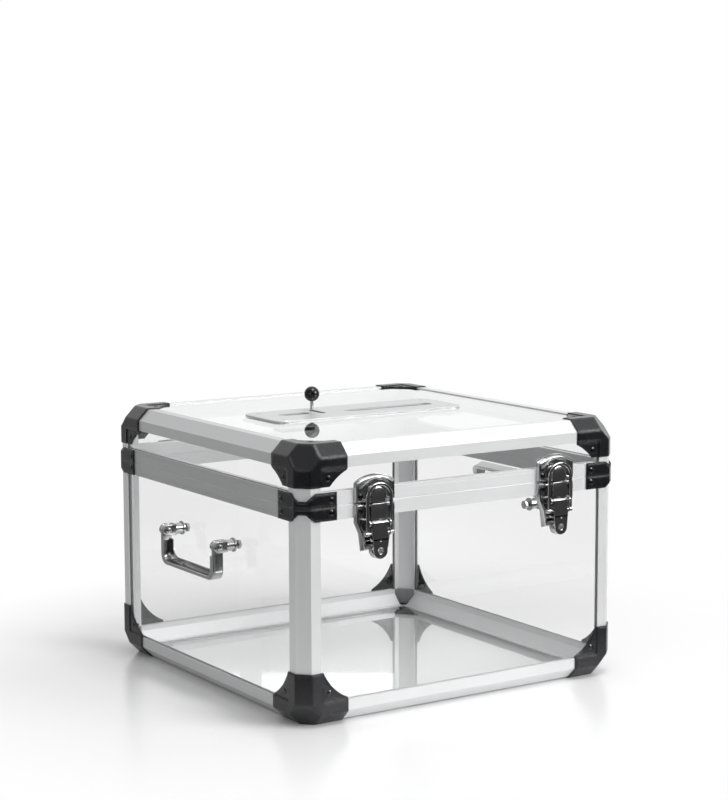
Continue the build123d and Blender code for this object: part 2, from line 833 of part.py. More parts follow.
def latch_loop(hand):
    """Arched draw loop whose two eyes turn on the lever's studs."""
    outer = loop_width / 2
    inner = outer - loop_strap
    crank = loop_back + loop_thickness / 2
    arch_foot = loop_top - loop_rise
    open_end = -loop_pivot_drop - overrun
    with BuildPart() as loop:
        with BuildSketch(latch_plane(hand, loop_back)):
            with BuildLine():
                Polyline(
                    (-outer, arch_foot), (-outer, -loop_pivot_drop), (outer, -loop_pivot_drop),
                    (outer, arch_foot),
                )
                ThreePointArc((outer, arch_foot), (0, loop_top), (-outer, arch_foot))
            make_face()
            with BuildLine():
                Polyline((-inner, arch_foot), (-inner, open_end), (inner, open_end), (inner, arch_foot))
                ThreePointArc((inner, arch_foot), (0, loop_top - loop_strap), (-inner, arch_foot))
            make_face(mode=Mode.SUBTRACT)
        extrude(amount=loop_thickness)
        for side in (-1, 1):
            with BuildSketch(latch_section(hand).offset(-side * (outer - loop_strap / 2))):
                with Locations((crank, -loop_pivot_drop)):
                    Circle(loop_eye_radius)
            extrude(amount=loop_strap / 2, both=True)
        with BuildSketch(latch_section(hand)):
            with Locations((crank, -loop_pivot_drop)):
                Circle(loop_pin_radius + running_gap)
        extrude(amount=outer, both=True, mode=Mode.SUBTRACT)
    return loop.part


def latch_pin(hand):
    """Pin that the lever turns on, held by the two ears."""
    length = boss_width / 2 + side_play + ear_wall
    with BuildPart() as pin:
        with BuildSketch(latch_section(hand)):
            with Locations((lever_pivot_out, -lever_pivot_drop)):
                Circle(lever_pin_radius)
        extrude(amount=length, both=True)
    return pin.part


# Drop handles
def handle_post(side, outer):
    """One handle post: flange, round bar, half-lapped end and the pivot pin with its head."""
    face = -panel_face + seat_gap
    across = handle_shift + outer * handle_spacing / 2
    eye_middle = lap_gap + bail_eye_width / 2
    seat = spot_plane(side, across, pivot_height, face)
    end = spot_plane(side, across, pivot_height, post_length)
    lap = Plane(origin=end.origin, x_dir=end.z_dir, z_dir=end.x_dir * outer)
    beside = (Align.MIN, Align.CENTER)
    with BuildPart() as post:
        with BuildSketch(seat):
            Circle(post_radius)
        extrude(amount=post_length + post_radius - face)
        with BuildSketch(seat):
            Circle(post_flange_radius)
        extrude(amount=post_flange_height)
        with BuildSketch(lap):
            with Locations((-post_length, 0)):
                Rectangle(2 * post_length, 2 * post_flange_radius)
            Circle(post_radius)
        extrude(amount=post_flange_radius, both=True, mode=Mode.INTERSECT)
        with BuildSketch(lap):
            with Locations((-lap_shoulder, 0)):
                Rectangle(lap_shoulder + post_length, 2 * post_flange_radius, align=beside)
        extrude(amount=post_flange_radius, mode=Mode.SUBTRACT)
        with BuildSketch(lap):
            Circle(bail_pin_radius)
        extrude(amount=2 * eye_middle)
        with BuildSketch(lap.offset(2 * eye_middle)):
            Circle(bail_pin_head_radius)
        extrude(amount=bail_pin_head)
        with BuildSketch(seat):
            Circle(post_stud_radius)
        extrude(amount=-(panel_thickness + post_nut_height + 2 * seat_gap))
    return post.part


def handle_nut(side, outer):
    """Nut on the inner end of one handle post."""
    across = handle_shift + outer * handle_spacing / 2
    depth = -panel_face - panel_thickness - seat_gap
    with BuildPart() as nut:
        with BuildSketch(spot_plane(side, across, pivot_height, depth)):
            RegularPolygon(post_nut_radius, 6)
            Circle(post_stud_radius + running_gap, mode=Mode.SUBTRACT)
        extrude(amount=-post_nut_height)
    return nut.part


def bail(side, turn):
    """Channel-section bail, hanging down and then turned about its pivots by the angle given."""
    plane = face_plane(side)
    middle = Plane(
        origin=plane.from_local_coords(Vector(handle_shift, pivot_height, post_length)), x_dir=plane.x_dir,
        z_dir=plane.z_dir.rotate(Axis((0, 0, 0), plane.x_dir), turn),
    )
    outer = handle_spacing / 2 + lap_gap + bail_eye_width
    with BuildPart() as handle:
        with BuildSketch(middle) as band:
            with Locations((0, -bail_drop / 2)):
                Rectangle(2 * outer, bail_drop)
            fillet(band.vertices().sort_by(Axis.Y)[:2], bail_corner_radius)
            with BuildLine():
                Polyline(
                    (-outer + bail_eye_width, 0), (-outer + bail_eye_width, -bail_flange_start),
                    (-outer + bail_leg_depth, -bail_flange_start), (-outer + bail_leg_depth, -bail_drop / 2),
                    (-outer + bail_leg_depth + bail_corner_radius, -bail_drop + bail_grip_depth),
                    (outer - bail_leg_depth - bail_corner_radius, -bail_drop + bail_grip_depth),
                    (outer - bail_leg_depth, -bail_drop / 2), (outer - bail_leg_depth, -bail_flange_start),
                    (outer - bail_eye_width, -bail_flange_start), (outer - bail_eye_width, 0),
                    (-outer + bail_eye_width, 0),
                )
            make_face(mode=Mode.SUBTRACT)
        extrude(amount=bail_width / 2, both=True)
        with BuildSketch(middle) as channel:
            with Locations((0, bail_wall - bail_drop)):
                Rectangle(
                    2 * (outer - bail_wall), bail_drop - bail_flange_start - bail_wall,
                    align=(Align.CENTER, Align.MIN),
                )
            fillet(channel.vertices().sort_by(Axis.Y)[:2], bail_corner_radius - bail_wall)
        extrude(amount=bail_width / 2 - bail_wall, both=True, mode=Mode.SUBTRACT)
        for end in (-1, 1):
            origin = middle.from_local_coords(Vector(end * (outer - bail_eye_width), 0, 0))
            place = Plane(origin=origin, x_dir=middle.z_dir, z_dir=middle.x_dir * end)
            with BuildSketch(place):
                Circle(bail_eye_radius)
            extrude(amount=bail_eye_width)
            with BuildSketch(place):
                Circle(bail_pin_radius + running_gap)
            extrude(amount=bail_eye_width, mode=Mode.SUBTRACT)
    return handle.part


# Hinges
def hinge_leaf(hand, lid):
    """One hinge leaf: the lid's carries the middle knuckle, the base's the outer two and the pin."""
    direction = 1 if lid else -1
    half = hinge_width / 2
    knuckle = half / 3
    axis_out = hinge_knuckle_radius + side_play + seat_gap
    clear = hinge_knuckle_radius + side_play
    place = Plane(origin=(hands[hand] * hinge_offset, back_y, seam), x_dir=(-1, 0, 0), z_dir=(0, 1, 0))
    across = Plane(origin=(hands[hand] * hinge_offset, back_y, seam), x_dir=(0, 1, 0), z_dir=(1, 0, 0))
    spans = ((0, knuckle),) if lid else ((-2 * knuckle, knuckle), (2 * knuckle, knuckle))
    gaps = ((-2 * knuckle, knuckle), (2 * knuckle, knuckle)) if lid else ((0, knuckle),)
    with BuildPart() as leaf:
        with BuildSketch(place.offset(seat_gap)) as outline:
            with Locations((0, direction * hinge_leaf_height / 2)):
                Rectangle(hinge_width, hinge_leaf_height)
            free = outline.vertices().sort_by(Axis.Y)
            fillet(free[2:] if lid else free[:2], hinge_corner_radius)
            for middle, reach in gaps:
                with Locations((middle, 0)):
                    Rectangle(2 * (reach + hinge_knuckle_gap), 2 * clear, mode=Mode.SUBTRACT)
            with Locations(*[(side * hinge_screw_offset, direction * hinge_screw_drop) for side in (-1, 1)]):
                Circle(rivet_shank_radius + rivet_hole_play, mode=Mode.SUBTRACT)
        extrude(amount=hinge_leaf_wall)
        for middle, reach in spans:
            with BuildSketch(across.offset(middle)):
                with Locations((axis_out, 0)):
                    Circle(hinge_knuckle_radius)
            extrude(amount=reach, both=True)
        with BuildSketch(across):
            with Locations((axis_out, 0)):
                Circle(hinge_pin_radius + running_gap if lid else hinge_pin_radius)
        extrude(amount=half, both=True, mode=Mode.SUBTRACT if lid else Mode.ADD)
    return leaf.part


# Lever plate and its tray
def lever_plate():
    """Plate on the lid with the letter slot, the lever's slot and the counter's window."""
    with BuildPart() as plate:
        with BuildSketch(Plane.XY.offset(plate_bottom)):
            with Locations((0, plate_shift)):
                RectangleRounded(plate_width, plate_depth, plate_corner_radius)
            plate_openings(0)
            with Locations((counter_x, counter_y)):
                SlotOverall(counter_window_width, counter_window_height, mode=Mode.SUBTRACT)
        extrude(amount=plate_thickness)
        chamfer(plate.faces().sort_by(Axis.Z)[-1].outer_wire().edges(), plate_edge_bevel)
        with Locations(Plane.XY.offset(plate_top)):
            with Locations(*plate_screw_places()):
                CounterSinkHole(
                    screw_shank_radius + rivet_hole_play, screw_head_radius + rivet_hole_play,
                    counter_sink_angle=countersink_angle,
                )
    return plate.part


def plate_screw(spot):
    """One countersunk screw through the plate, the lid sheet and the tray."""
    reach = plate_top - tray_bottom + nut_height
    sink_depth = screw_head_radius - screw_shank_radius
    with BuildPart() as screw:
        with Locations((*spot, plate_top)):
            Cone(screw_shank_radius, screw_head_radius, sink_depth, align=hanging)
            Cylinder(screw_shank_radius, reach, align=hanging)
            Box(screw_head_radius, screw_slot_width, screw_slot_width, align=hanging, mode=Mode.SUBTRACT)
    return screw.part


def plate_nut(spot):
    """Nut below the tray on one plate screw."""
    with BuildPart() as nut:
        with BuildSketch(Plane.XY.offset(tray_bottom - seat_gap)):
            with Locations(spot):
                RegularPolygon(nut_radius, 6)
                Circle(screw_shank_radius + running_gap, mode=Mode.SUBTRACT)
        extrude(amount=-nut_height)
    return nut.part


def shutter_tray():
    """Shallow tray below the lid sheet that carries the shutter between two ribs."""
    inner = tray_bottom + tray_wall
    width = plate_width - 2 * tray_margin
    slot_extra = 2 * under_slot_margin
    ribs = (
        (shutter_left - side_play, shutter_rib_left, Align.MAX),
        (shutter_right + side_play, tray_rib, Align.MIN),
    )
    with BuildPart() as tray:
        with BuildSketch(Plane.XY.offset(tray_bottom)):
            with Locations((0, plate_shift)):
                Rectangle(width, plate_depth)
            counter_cutout(cutout_margin)
            with Locations((mail_slot_x, mail_slot_y)):
                SlotOverall(mail_slot_length + slot_extra, mail_slot_height + slot_extra, mode=Mode.SUBTRACT)
            with Locations(*plate_screw_places()):
                Circle(screw_shank_radius + rivet_hole_play, mode=Mode.SUBTRACT)
        extrude(amount=tray_wall)
        with BuildSketch(Plane.XY.offset(inner)):
            with Locations((0, plate_shift)):
                Rectangle(width, plate_depth)
                Rectangle(width - 2 * tray_wall, plate_depth - 2 * tray_wall, mode=Mode.SUBTRACT)
            for edge, rib, align in ribs:
                with Locations((edge, plate_shift)):
                    Rectangle(rib, plate_depth - tray_wall, align=(align, Align.CENTER))
        extrude(amount=sheet_bottom - seat_gap - inner)
    return tray.part


def shutter():
    """Sliding shutter below the letter slot, with a tab for the lever's rod."""
    low = mail_slot_y - mail_slot_height / 2 - shutter_cover
    high = mail_slot_y + mail_slot_height / 2 + shutter_cover
    with BuildPart() as plate:
        with BuildSketch(Plane.XY.offset(shutter_bottom)):
            Polygon(
                (shutter_left, low), (shutter_right, low), (shutter_right, high), (shutter_tab_right, high),
                (shutter_tab_right, lever_y + knob_radius), (shutter_left, lever_y + knob_radius),
                align=None,
            )
            with Locations((lever_x, lever_y)):
                Circle(lever_rod_radius + seat_gap, mode=Mode.SUBTRACT)
        extrude(amount=shutter_thickness)
    return plate.part


def lever_rod():
    """Upright rod of the voting lever, with a shoulder that sits on the shutter."""
    with BuildPart() as rod:
        with Locations((lever_x, lever_y, shutter_bottom)):
            Cylinder(lever_rod_radius, rod_top - shutter_bottom, align=upright)
        with Locations((lever_x, lever_y, shutter_top + seat_gap)):
            Cylinder(rod_shoulder_radius, rod_shoulder_height, align=upright)
    return rod.part


def lever_knob():
    """Ball on top of the lever's rod."""
    with BuildPart() as knob:
        with Locations((lever_x, lever_y, plate_top + knob_height)):
            Sphere(knob_radius)
            Cylinder(lever_rod_radius + seat_gap, knob_radius, align=hanging, mode=Mode.SUBTRACT)
    return knob.part


# Counter
def counter_case():
    """Open-topped case of the counter, with its axle and with flanges that sit against the tray."""
    top = plate_bottom - seat_gap
    with BuildPart() as case:
        with BuildSketch(Plane.XY.offset(top - counter_case_height)):
            with Locations((counter_x, counter_y)):
                Rectangle(counter_case_width, counter_case_depth)
        extrude(amount=counter_case_height)
        with BuildSketch(Plane.XY.offset(tray_bottom - seat_gap)):
            with Locations((counter_x, counter_y)):
                Rectangle(counter_case_width, counter_case_depth + 2 * counter_flange)
        extrude(amount=-tray_wall)
        with BuildSketch(Plane.XY.offset(top)):
            with Locations((counter_x, counter_y)):
                Rectangle(counter_case_width - 2 * counter_wall, counter_case_depth - 2 * counter_wall)
        extrude(amount=counter_wall - counter_case_height, mode=Mode.SUBTRACT)
        with BuildSketch(Plane.YZ.offset(counter_x)):
            with Locations((counter_y, wheel_height)):
                Circle(axle_radius)
        extrude(amount=counter_case_width / 2, both=True)
    return case.part


def counter_wheel(index):
    """One number wheel, counted from the left."""
    middle = counter_x + (index - (wheel_count - 1) / 2) * wheel_pitch
    with BuildPart() as wheel:
        with BuildSketch(Plane.YZ.offset(middle)):
            with Locations((counter_y, wheel_height)):
                Circle(wheel_radius)
                Circle(axle_radius + running_gap, mode=Mode.SUBTRACT)
        extrude(amount=wheel_width / 2, both=True)
    return wheel.part


# Base
base_guard_shape = guard_shape(guard_reach)
lid_guard_shape = guard_shape(guard_reach_lid)
for side in sides:
    save(frame_rail(side, frame_bottom, 1), f"base_rail_{side}")
    save(frame_rail(side, frame_top, -1), f"lid_rail_{side}")
    save(side_panel(side, False), f"base_panel_{side}")
    save(side_panel(side, True), f"lid_panel_{side}")
for corner in corners:
    save(corner_guard(base_guard_shape, corner, False), f"base_corner_guard_{corner}")
    save(corner_guard(lid_guard_shape, corner, True), f"lid_corner_guard_{corner}")
post_foot = frame_bottom + edge_leg
save(group(corner_post(corner, post_foot, base_rim_bottom) for corner in corners), "base_corner_posts")
save(group(rim_bar(side, False) for side in sides), "base_rim_bars")
save(group(rim_angle(corner, False) for corner in corners), "base_rim_angles")
save(floor_sheet(), "floor_panel")
save(corner_blocks(False), "base_corner_blocks")
save(group(web_rivets(False) + rim_rivets(False)), "base_rivets")

# Lid
save(group(corner_post(corner, lid_rim_top, frame_top - edge_leg) for corner in corners), "lid_corner_posts")
save(group(rim_bar(side, True) for side in sides), "lid_rim_bars")
save(group(rim_angle(corner, True) for corner in corners), "lid_rim_angles")
save(top_sheet(), "lid_top_panel")
save(corner_blocks(True), "lid_corner_blocks")
save(group(web_rivets(True) + rim_rivets(True)), "lid_rivets")

# Latches
for hand in hands:
    save(latch_keeper(hand), f"latch_keeper_{hand}")
    save(latch_base(hand), f"latch_base_{hand}")
    save(latch_lever(hand), f"latch_lever_{hand}")
    save(latch_loop(hand), f"latch_loop_{hand}")
save(group(latch_pin(hand) for hand in hands), "latch_pins")

# Handles
save(group(handle_post(side, outer) for side in hands for outer in (-1, 1)), "handle_posts")
save(group(handle_nut(side, outer) for side in hands for outer in (-1, 1)), "handle_nuts")
save(bail("left", 0), "handle_bail_left")
save(bail("right", -(half_turn + bail_lean)), "handle_bail_right")

# Hinges
save(group(hinge_leaf(hand, False) for hand in hands), "hinge_leaves_base")
save(group(hinge_leaf(hand, True) for hand in hands), "hinge_leaves_lid")

# Lever, shutter and counter
save(lever_plate(), "lever_plate")
save(group(make(spot) for make in (plate_screw, plate_nut) for spot in plate_screw_places()), "plate_screws")
save(shutter_tray(), "shutter_tray")
save(shutter(), "shutter")
save(lever_rod(), "voting_lever_rod")
save(lever_knob(), "voting_lever_knob")
save(counter_case(), "counter_case")
save(group(counter_wheel(index) for index in range(wheel_count - 1)), "counter_wheels")
save(counter_wheel(wheel_count - 1), "counter_units_wheel")
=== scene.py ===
"""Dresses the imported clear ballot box: finishes, rounded fittings, digits, camera and studio."""
import json
import logging
import math
from dataclasses import dataclass, field
from enum import Enum
from typing import Any

import bmesh
import bpy
from mathutils import Matrix, Vector

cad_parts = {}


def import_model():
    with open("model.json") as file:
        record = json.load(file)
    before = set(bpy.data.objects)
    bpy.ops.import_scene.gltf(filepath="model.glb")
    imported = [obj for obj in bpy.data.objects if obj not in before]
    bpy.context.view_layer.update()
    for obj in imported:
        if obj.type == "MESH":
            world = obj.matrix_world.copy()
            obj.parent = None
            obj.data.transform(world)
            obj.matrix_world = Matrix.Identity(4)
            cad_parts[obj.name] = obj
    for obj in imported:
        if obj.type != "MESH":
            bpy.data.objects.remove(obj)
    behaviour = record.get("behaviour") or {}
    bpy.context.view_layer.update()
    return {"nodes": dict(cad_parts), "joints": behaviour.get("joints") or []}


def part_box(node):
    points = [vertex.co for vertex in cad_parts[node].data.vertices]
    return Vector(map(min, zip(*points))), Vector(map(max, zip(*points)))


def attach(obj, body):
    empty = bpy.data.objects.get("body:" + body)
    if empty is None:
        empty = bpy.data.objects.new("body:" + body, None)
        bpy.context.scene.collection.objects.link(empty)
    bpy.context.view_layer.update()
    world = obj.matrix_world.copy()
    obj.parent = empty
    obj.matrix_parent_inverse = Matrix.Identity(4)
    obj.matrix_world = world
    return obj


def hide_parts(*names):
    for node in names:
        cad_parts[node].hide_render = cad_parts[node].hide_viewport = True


LOG = logging.getLogger("ballot_box")
MM = 0.001
NOISE_MIDDLE = 0.5

Point = tuple[float, float]
Outline = list[Point]
Profile = tuple[Point, ...]
Colour = tuple[float, float, float]
Fade = tuple[float, float, float, float]


class Axis(Enum):
    """One of the three directions."""

    X = 0
    Y = 1
    Z = 2


class Grain(Enum):
    """How far a drawn or brushed grain is stretched along X, Y and Z."""

    ALONG_X = (0.012, 1.0, 1.0)
    ALONG_Y = (1.0, 0.012, 1.0)
    ALONG_Z = (1.0, 1.0, 0.012)
    LEVEL = (0.012, 0.012, 1.0)


class Sock:
    """A node socket that Python's operators can do maths on."""

    def __init__(self, kit: "NodeKit", socket: Any) -> None:
        self.kit = kit
        self.socket = socket

    def _maths(self, operation: str, first: Any, second: Any) -> "Sock":
        """Adds one Math node.

        Args:
            operation: The Math node's operation.
            first: First operand, a Sock or a number.
            second: Second operand.

        Returns:
            The node's output.
        """
        return self.kit.node("ShaderNodeMath", {"operation": operation}, {0: first, 1: second})

    def __add__(self, other: Any) -> "Sock":
        """Sum."""
        return self._maths("ADD", self, other)

    def __sub__(self, other: Any) -> "Sock":
        """Difference."""
        return self._maths("SUBTRACT", self, other)

    def __rsub__(self, other: Any) -> "Sock":
        """Difference from a number."""
        return self._maths("SUBTRACT", other, self)

    def __mul__(self, other: Any) -> "Sock":
        """Product."""
        return self._maths("MULTIPLY", self, other)

    def __pow__(self, other: Any) -> "Sock":
        """Power."""
        return self._maths("POWER", self, other)

    def at_most(self, other: Any) -> "Sock":
        """Smaller of two values."""
        return self._maths("MINIMUM", self, other)

    def at_least(self, other: Any) -> "Sock":
        """Larger of two values."""
        return self._maths("MAXIMUM", self, other)


class NodeKit:
    """Adds nodes to one material or world."""

    EDGE_SAMPLES = 6

    def __init__(self, tree: Any) -> None:
        """Empties the tree that the nodes go into."""
        self.tree = tree
        self.tree.nodes.clear()

    def node(self, kind: str, settings: dict[str, Any], values: dict[Any, Any], output: Any = 0) -> Sock:
        """Adds one node.

        Args:
            kind: Blender's name for the node type.
            settings: Properties that are set before the sockets.
            values: Input sockets' values, or Socks to link.
            output: Which output to return.

        Returns:
            The chosen output as a Sock.
        """
        made = self.tree.nodes.new(kind)
        for name, value in settings.items():
            setattr(made, name, value)
        for name, value in values.items():
            if isinstance(value, Sock):
                self.tree.links.new(value.socket, made.inputs[name])
            else:
                made.inputs[name].default_value = value
        return Sock(self, made.outputs[output]) if len(made.outputs) else Sock(self, None)

    def position(self) -> Sock:
        """The point in the part's own coordinates, in metres."""
        return self.node("ShaderNodeTexCoord", {}, {}, "Object")

    def stretched(self, scale: tuple[float, float, float]) -> Sock:
        """Object coordinates multiplied by a scale per axis.

        Args:
            scale: Factor along X, Y and Z.

        Returns:
            The scaled vector.
        """
        values = {"Vector": self.position(), "Scale": scale}
        return self.node("ShaderNodeMapping", {"vector_type": "POINT"}, values)

    def noise(self, vector: Sock, scale: float, detail: float = 2.0) -> Sock:
        """Noise between 0 and 1.

        Args:
            vector: Where to read it.
            scale: Features per unit of the vector.
            detail: Octaves.

        Returns:
            The noise value.
        """
        values = {"Vector": vector, "Scale": scale, "Detail": detail}
        return self.node("ShaderNodeTexNoise", {}, values, "Fac")

    def tint(self, factor: Sock, low: Colour, high: Colour) -> Sock:
        """Mixes two colours.

        Args:
            factor: 0 gives low and 1 gives high.
            low: First colour.
            high: Second colour.

        Returns:
            The mixed colour.
        """
        values = {0: factor, 6: (*low, 1.0), 7: (*high, 1.0)}
        return self.node("ShaderNodeMix", {"data_type": "RGBA"}, values, 2)

    def ramp(self, value: Sock, start: float, end: float, low: float, high: float) -> Sock:
        """Eases from one level to another.

        Args:
            value: What the level follows.
            start: The value at which the level leaves low.
            end: The value at which it reaches high.
            low: First level.
            high: Second level.

        Returns:
            The level.
        """
        limits = {"Value": value, "From Min": start, "From Max": end, "To Min": low, "To Max": high}
        return self.node("ShaderNodeMapRange", {"interpolation_type": "SMOOTHSTEP"}, limits)

    def ray(self, kind: str) -> Sock:
        """Whether the ray is of one kind, such as a camera ray."""
        return self.node("ShaderNodeLightPath", {}, {}, f"Is {kind} Ray")

    def part_of(self, vector: Sock, axis: Axis) -> Sock:
        """One component of a vector."""
        return self.node("ShaderNodeSeparateXYZ", {}, {"Vector": vector}, axis.name)

    def bump(self, height: Sock, strength: float, distance: float, soft_edge: float = 0.0) -> Sock:
        """Surface normal bent by a height.

        Args:
            height: Height value.
            strength: How much of it shows.
            distance: Height in metres at 1.
            soft_edge: Radius by which edges look rounded.

        Returns:
            The bent normal.
        """
        values = {"Strength": strength, "Distance": distance, "Height": height}
        if soft_edge:
            samples = {"samples": self.EDGE_SAMPLES}
            values["Normal"] = self.node("ShaderNodeBevel", samples, {"Radius": soft_edge}, "Normal")
        return self.node("ShaderNodeBump", {}, values, "Normal")

    def surface(self, values: dict[str, Any]) -> None:
        """Ends the material in one Principled shader with these values."""
        shader = self.node("ShaderNodeBsdfPrincipled", {}, values)
        self.node("ShaderNodeOutputMaterial", {}, {"Surface": shader})


def new_kit(name: str) -> tuple[Any, NodeKit]:
    """Starts a material.

    Args:
        name: The material's name.
    """
    material = bpy.data.materials.new(name)
    material.use_nodes = True
    return material, NodeKit(material.node_tree)


@dataclass(frozen=True)
class DrawnMetal:
    """Satin metal with a fine grain along one direction.

    The turned share of its tone is painted shade: light where the metal faces right or ahead, and dark where
    it faces left.
    """

    name: str
    light: Colour
    dark: Colour
    roughness: float
    grain: Grain
    grain_scale: float = 900.0
    grain_depth: float = 0.00002
    grain_share: float = 0.55
    grain_shown: float = 0.25
    cloud_scale: float = 14.0
    spread: float = 0.06
    metallic: float = 0.55
    # turned: share of the tone that is painted shade, dark on faces that turn left
    turned: float = 0.0
    left_fade: Fade = (-0.9, -0.4, 0.0, 1.0)

    def make(self) -> Any:
        """Builds the material.

        Returns:
            The material.
        """
        material, kit = new_kit(self.name)
        lines = kit.noise(kit.stretched(self.grain.value), self.grain_scale, 3.0)
        cloud = kit.noise(kit.position(), self.cloud_scale, 3.0)
        mix = lines * self.grain_share + cloud * (1.0 - self.grain_share)
        # Painted shade: this share of the tone follows the face's direction, and is dark where the face
        # turns left.
        if self.turned:
            facing = kit.part_of(kit.node("ShaderNodeNewGeometry", {}, {}, "Normal"), Axis.X)
            mix = mix * (1.0 - self.turned) + kit.ramp(facing, *self.left_fade) * self.turned
        uneven = (lines - NOISE_MIDDLE) * self.spread + (cloud - NOISE_MIDDLE) * self.spread
        kit.surface({
            "Base Color": kit.tint(mix, self.dark, self.light),
            "Metallic": self.metallic,
            "Roughness": uneven + self.roughness,
            "Normal": kit.bump(lines, self.grain_shown, self.grain_depth),
        })
        return material


@dataclass(frozen=True)
class PolishedMetal:
    """Plated steel, bright with faint polishing marks and small clouding."""

    name: str
    colour: Colour
    roughness: float
    cloud_scale: float = 160.0
    cloud_dark: float = 0.86
    cloud_rough: float = 0.08
    cloud_shown: float = 0.08
    cloud_depth: float = 0.0001
    marks_scale: float = 2600.0
    marks_stretch: float = 0.05
    marks_rough: float = 0.04

    def make(self) -> Any:
        """Builds the material.

        Returns:
            The material.
        """
        material, kit = new_kit(self.name)
        cloud = kit.noise(kit.position(), self.cloud_scale, 3.0)
        marks = kit.noise(kit.stretched((1.0, 1.0, self.marks_stretch)), self.marks_scale, 2.0)
        low = tuple(self.cloud_dark * part for part in self.colour)
        kit.surface({
            "Base Color": kit.tint(cloud, low, self.colour),
            "Metallic": 1.0,
            "Roughness": cloud * self.cloud_rough + marks * self.marks_rough + self.roughness,
            "Normal": kit.bump(cloud, self.cloud_shown, self.cloud_depth),
        })
        return material


@dataclass(frozen=True)
class MouldedPlastic:
    """Moulded plastic with a fine grain and slightly worn high spots."""

    name: str
    colour: Colour
    worn: Colour
    roughness: float
    specular: float = 0.5
    grain_scale: float = 1500.0
    grain_depth: float = 0.00003
    grain_rough: float = 0.06
    grain_shown: float = 0.3
    cloud_scale: float = 35.0
    cloud_rough: float = 0.12
    soft_edge: float = 0.0

    def make(self) -> Any:
        """Builds the material.

        Returns:
            The material.
        """
        material, kit = new_kit(self.name)
        grain = kit.noise(kit.position(), self.grain_scale, 2.0)
        cloud = kit.noise(kit.position(), self.cloud_scale, 4.0)
        least = self.roughness - NOISE_MIDDLE * (self.cloud_rough + self.grain_rough)
        kit.surface({
            "Base Color": kit.tint(cloud ** 2.0, self.colour, self.worn),
            "Roughness": cloud * self.cloud_rough + grain * self.grain_rough + least,
            "Specular IOR Level": self.specular,
            "Normal": kit.bump(grain, self.grain_shown, self.grain_depth, self.soft_edge),
        })
        return material


@dataclass(frozen=True)
class ClearSheet:
    """Clear sheet that lets light through and mirrors more at a low angle.

    Only the face nearer to the eye mirrors, with the strength of both.
    """

    name: str
    colour: Colour
    least: float
    gain: float
    most: float = 0.9
    refraction: float = 1.49
    smear_scale: float = 9.0
    smear_rough: float = 0.03
    roughness: float = 0.005

    def make(self) -> Any:
        """Builds the material.

        Returns:
            The material.
        """
        material, kit = new_kit(self.name)
        mirrored = kit.node("ShaderNodeFresnel", {}, {"IOR": self.refraction})
        outside = 1.0 - kit.node("ShaderNodeNewGeometry", {}, {}, "Backfacing")
        smear = kit.noise(kit.position(), self.smear_scale, 4.0)
        kit.surface({
            "Base Color": self.colour + (1.0,),
            "Metallic": 1.0,
            "Roughness": smear * self.smear_rough + self.roughness,
            "Alpha": (mirrored * self.gain + self.least).at_most(self.most) * outside,
        })
        return material


@dataclass
class Finishes:
    """Every finish on the box, by what it is used on."""

    made: dict[str, Any] = field(default_factory=dict)

    def build(self) -> None:
        """Makes all the materials."""
        light, dark = (0.83, 0.835, 0.84), (0.75, 0.755, 0.76)
        finishes = [
            DrawnMetal("rail_along_x", light, dark, 0.48, Grain.ALONG_X),
            DrawnMetal("rail_along_y", light, dark, 0.42, Grain.ALONG_Y),
            DrawnMetal("post_upright", light, dark, 0.52, Grain.ALONG_Z),
            # A darker copy of the rails' metal for the left rails: painted shade.
            DrawnMetal("rail_left_painted_shade", (0.65, 0.655, 0.66), (0.57, 0.575, 0.58), 0.42, Grain.ALONG_Y),
            # The rims' left-facing sides are darkened by painted shade.
            DrawnMetal(
                "rim_level", (0.93, 0.935, 0.94), (0.46, 0.465, 0.47), 0.45, Grain.LEVEL, turned=0.82,
            ),
            DrawnMetal(
                "plate_satin", (0.7, 0.705, 0.71), (0.6, 0.605, 0.61), 0.42, Grain.ALONG_X,
                grain_scale=1400.0, grain_depth=0.00001, spread=0.04,
            ),
            DrawnMetal(
                "shutter_brushed", (0.86, 0.865, 0.87), (0.6, 0.6, 0.61), 0.3, Grain.ALONG_Y,
                grain_scale=1800.0, grain_depth=0.00006, spread=0.2, metallic=1.0,
            ),
            DrawnMetal("tray_steel", (0.6, 0.605, 0.61), (0.5, 0.5, 0.51), 0.45, Grain.ALONG_X),
            PolishedMetal("plated_steel", (0.6, 0.6, 0.605), 0.08),
            PolishedMetal("rivet_dark", (0.07, 0.07, 0.075), 0.18),
            MouldedPlastic(
                "guard_black", (0.0045, 0.0048, 0.007), (0.008, 0.0085, 0.011), 0.27,
                specular=0.6, soft_edge=0.005,
            ),
            MouldedPlastic("block_grey", (0.2, 0.205, 0.21), (0.26, 0.265, 0.27), 0.5),
            MouldedPlastic(
                "ball_black", (0.004, 0.004, 0.004), (0.006, 0.006, 0.006), 0.13,
                grain_scale=300.0, grain_depth=0.000002,
            ),
            MouldedPlastic("counter_black", (0.008, 0.008, 0.008), (0.014, 0.014, 0.014), 0.45),
            MouldedPlastic("digit_white", (0.75, 0.75, 0.73), (0.8, 0.8, 0.78), 0.5),
            ClearSheet("sheet_clear", (0.95, 0.96, 0.96), 0.012, 1.7),
        ]
        for finish in finishes:
            self.made[finish.name] = finish.make()

    def give(self, thing: Any, name: str) -> None:
        """Puts one finish on an object.

        Args:
            thing: The object.
            name: The finish's name.
        """
        if not thing.data.materials:
            thing.data.materials.append(self.made[name])
        for slot in thing.material_slots:
            slot.material = self.made[name]


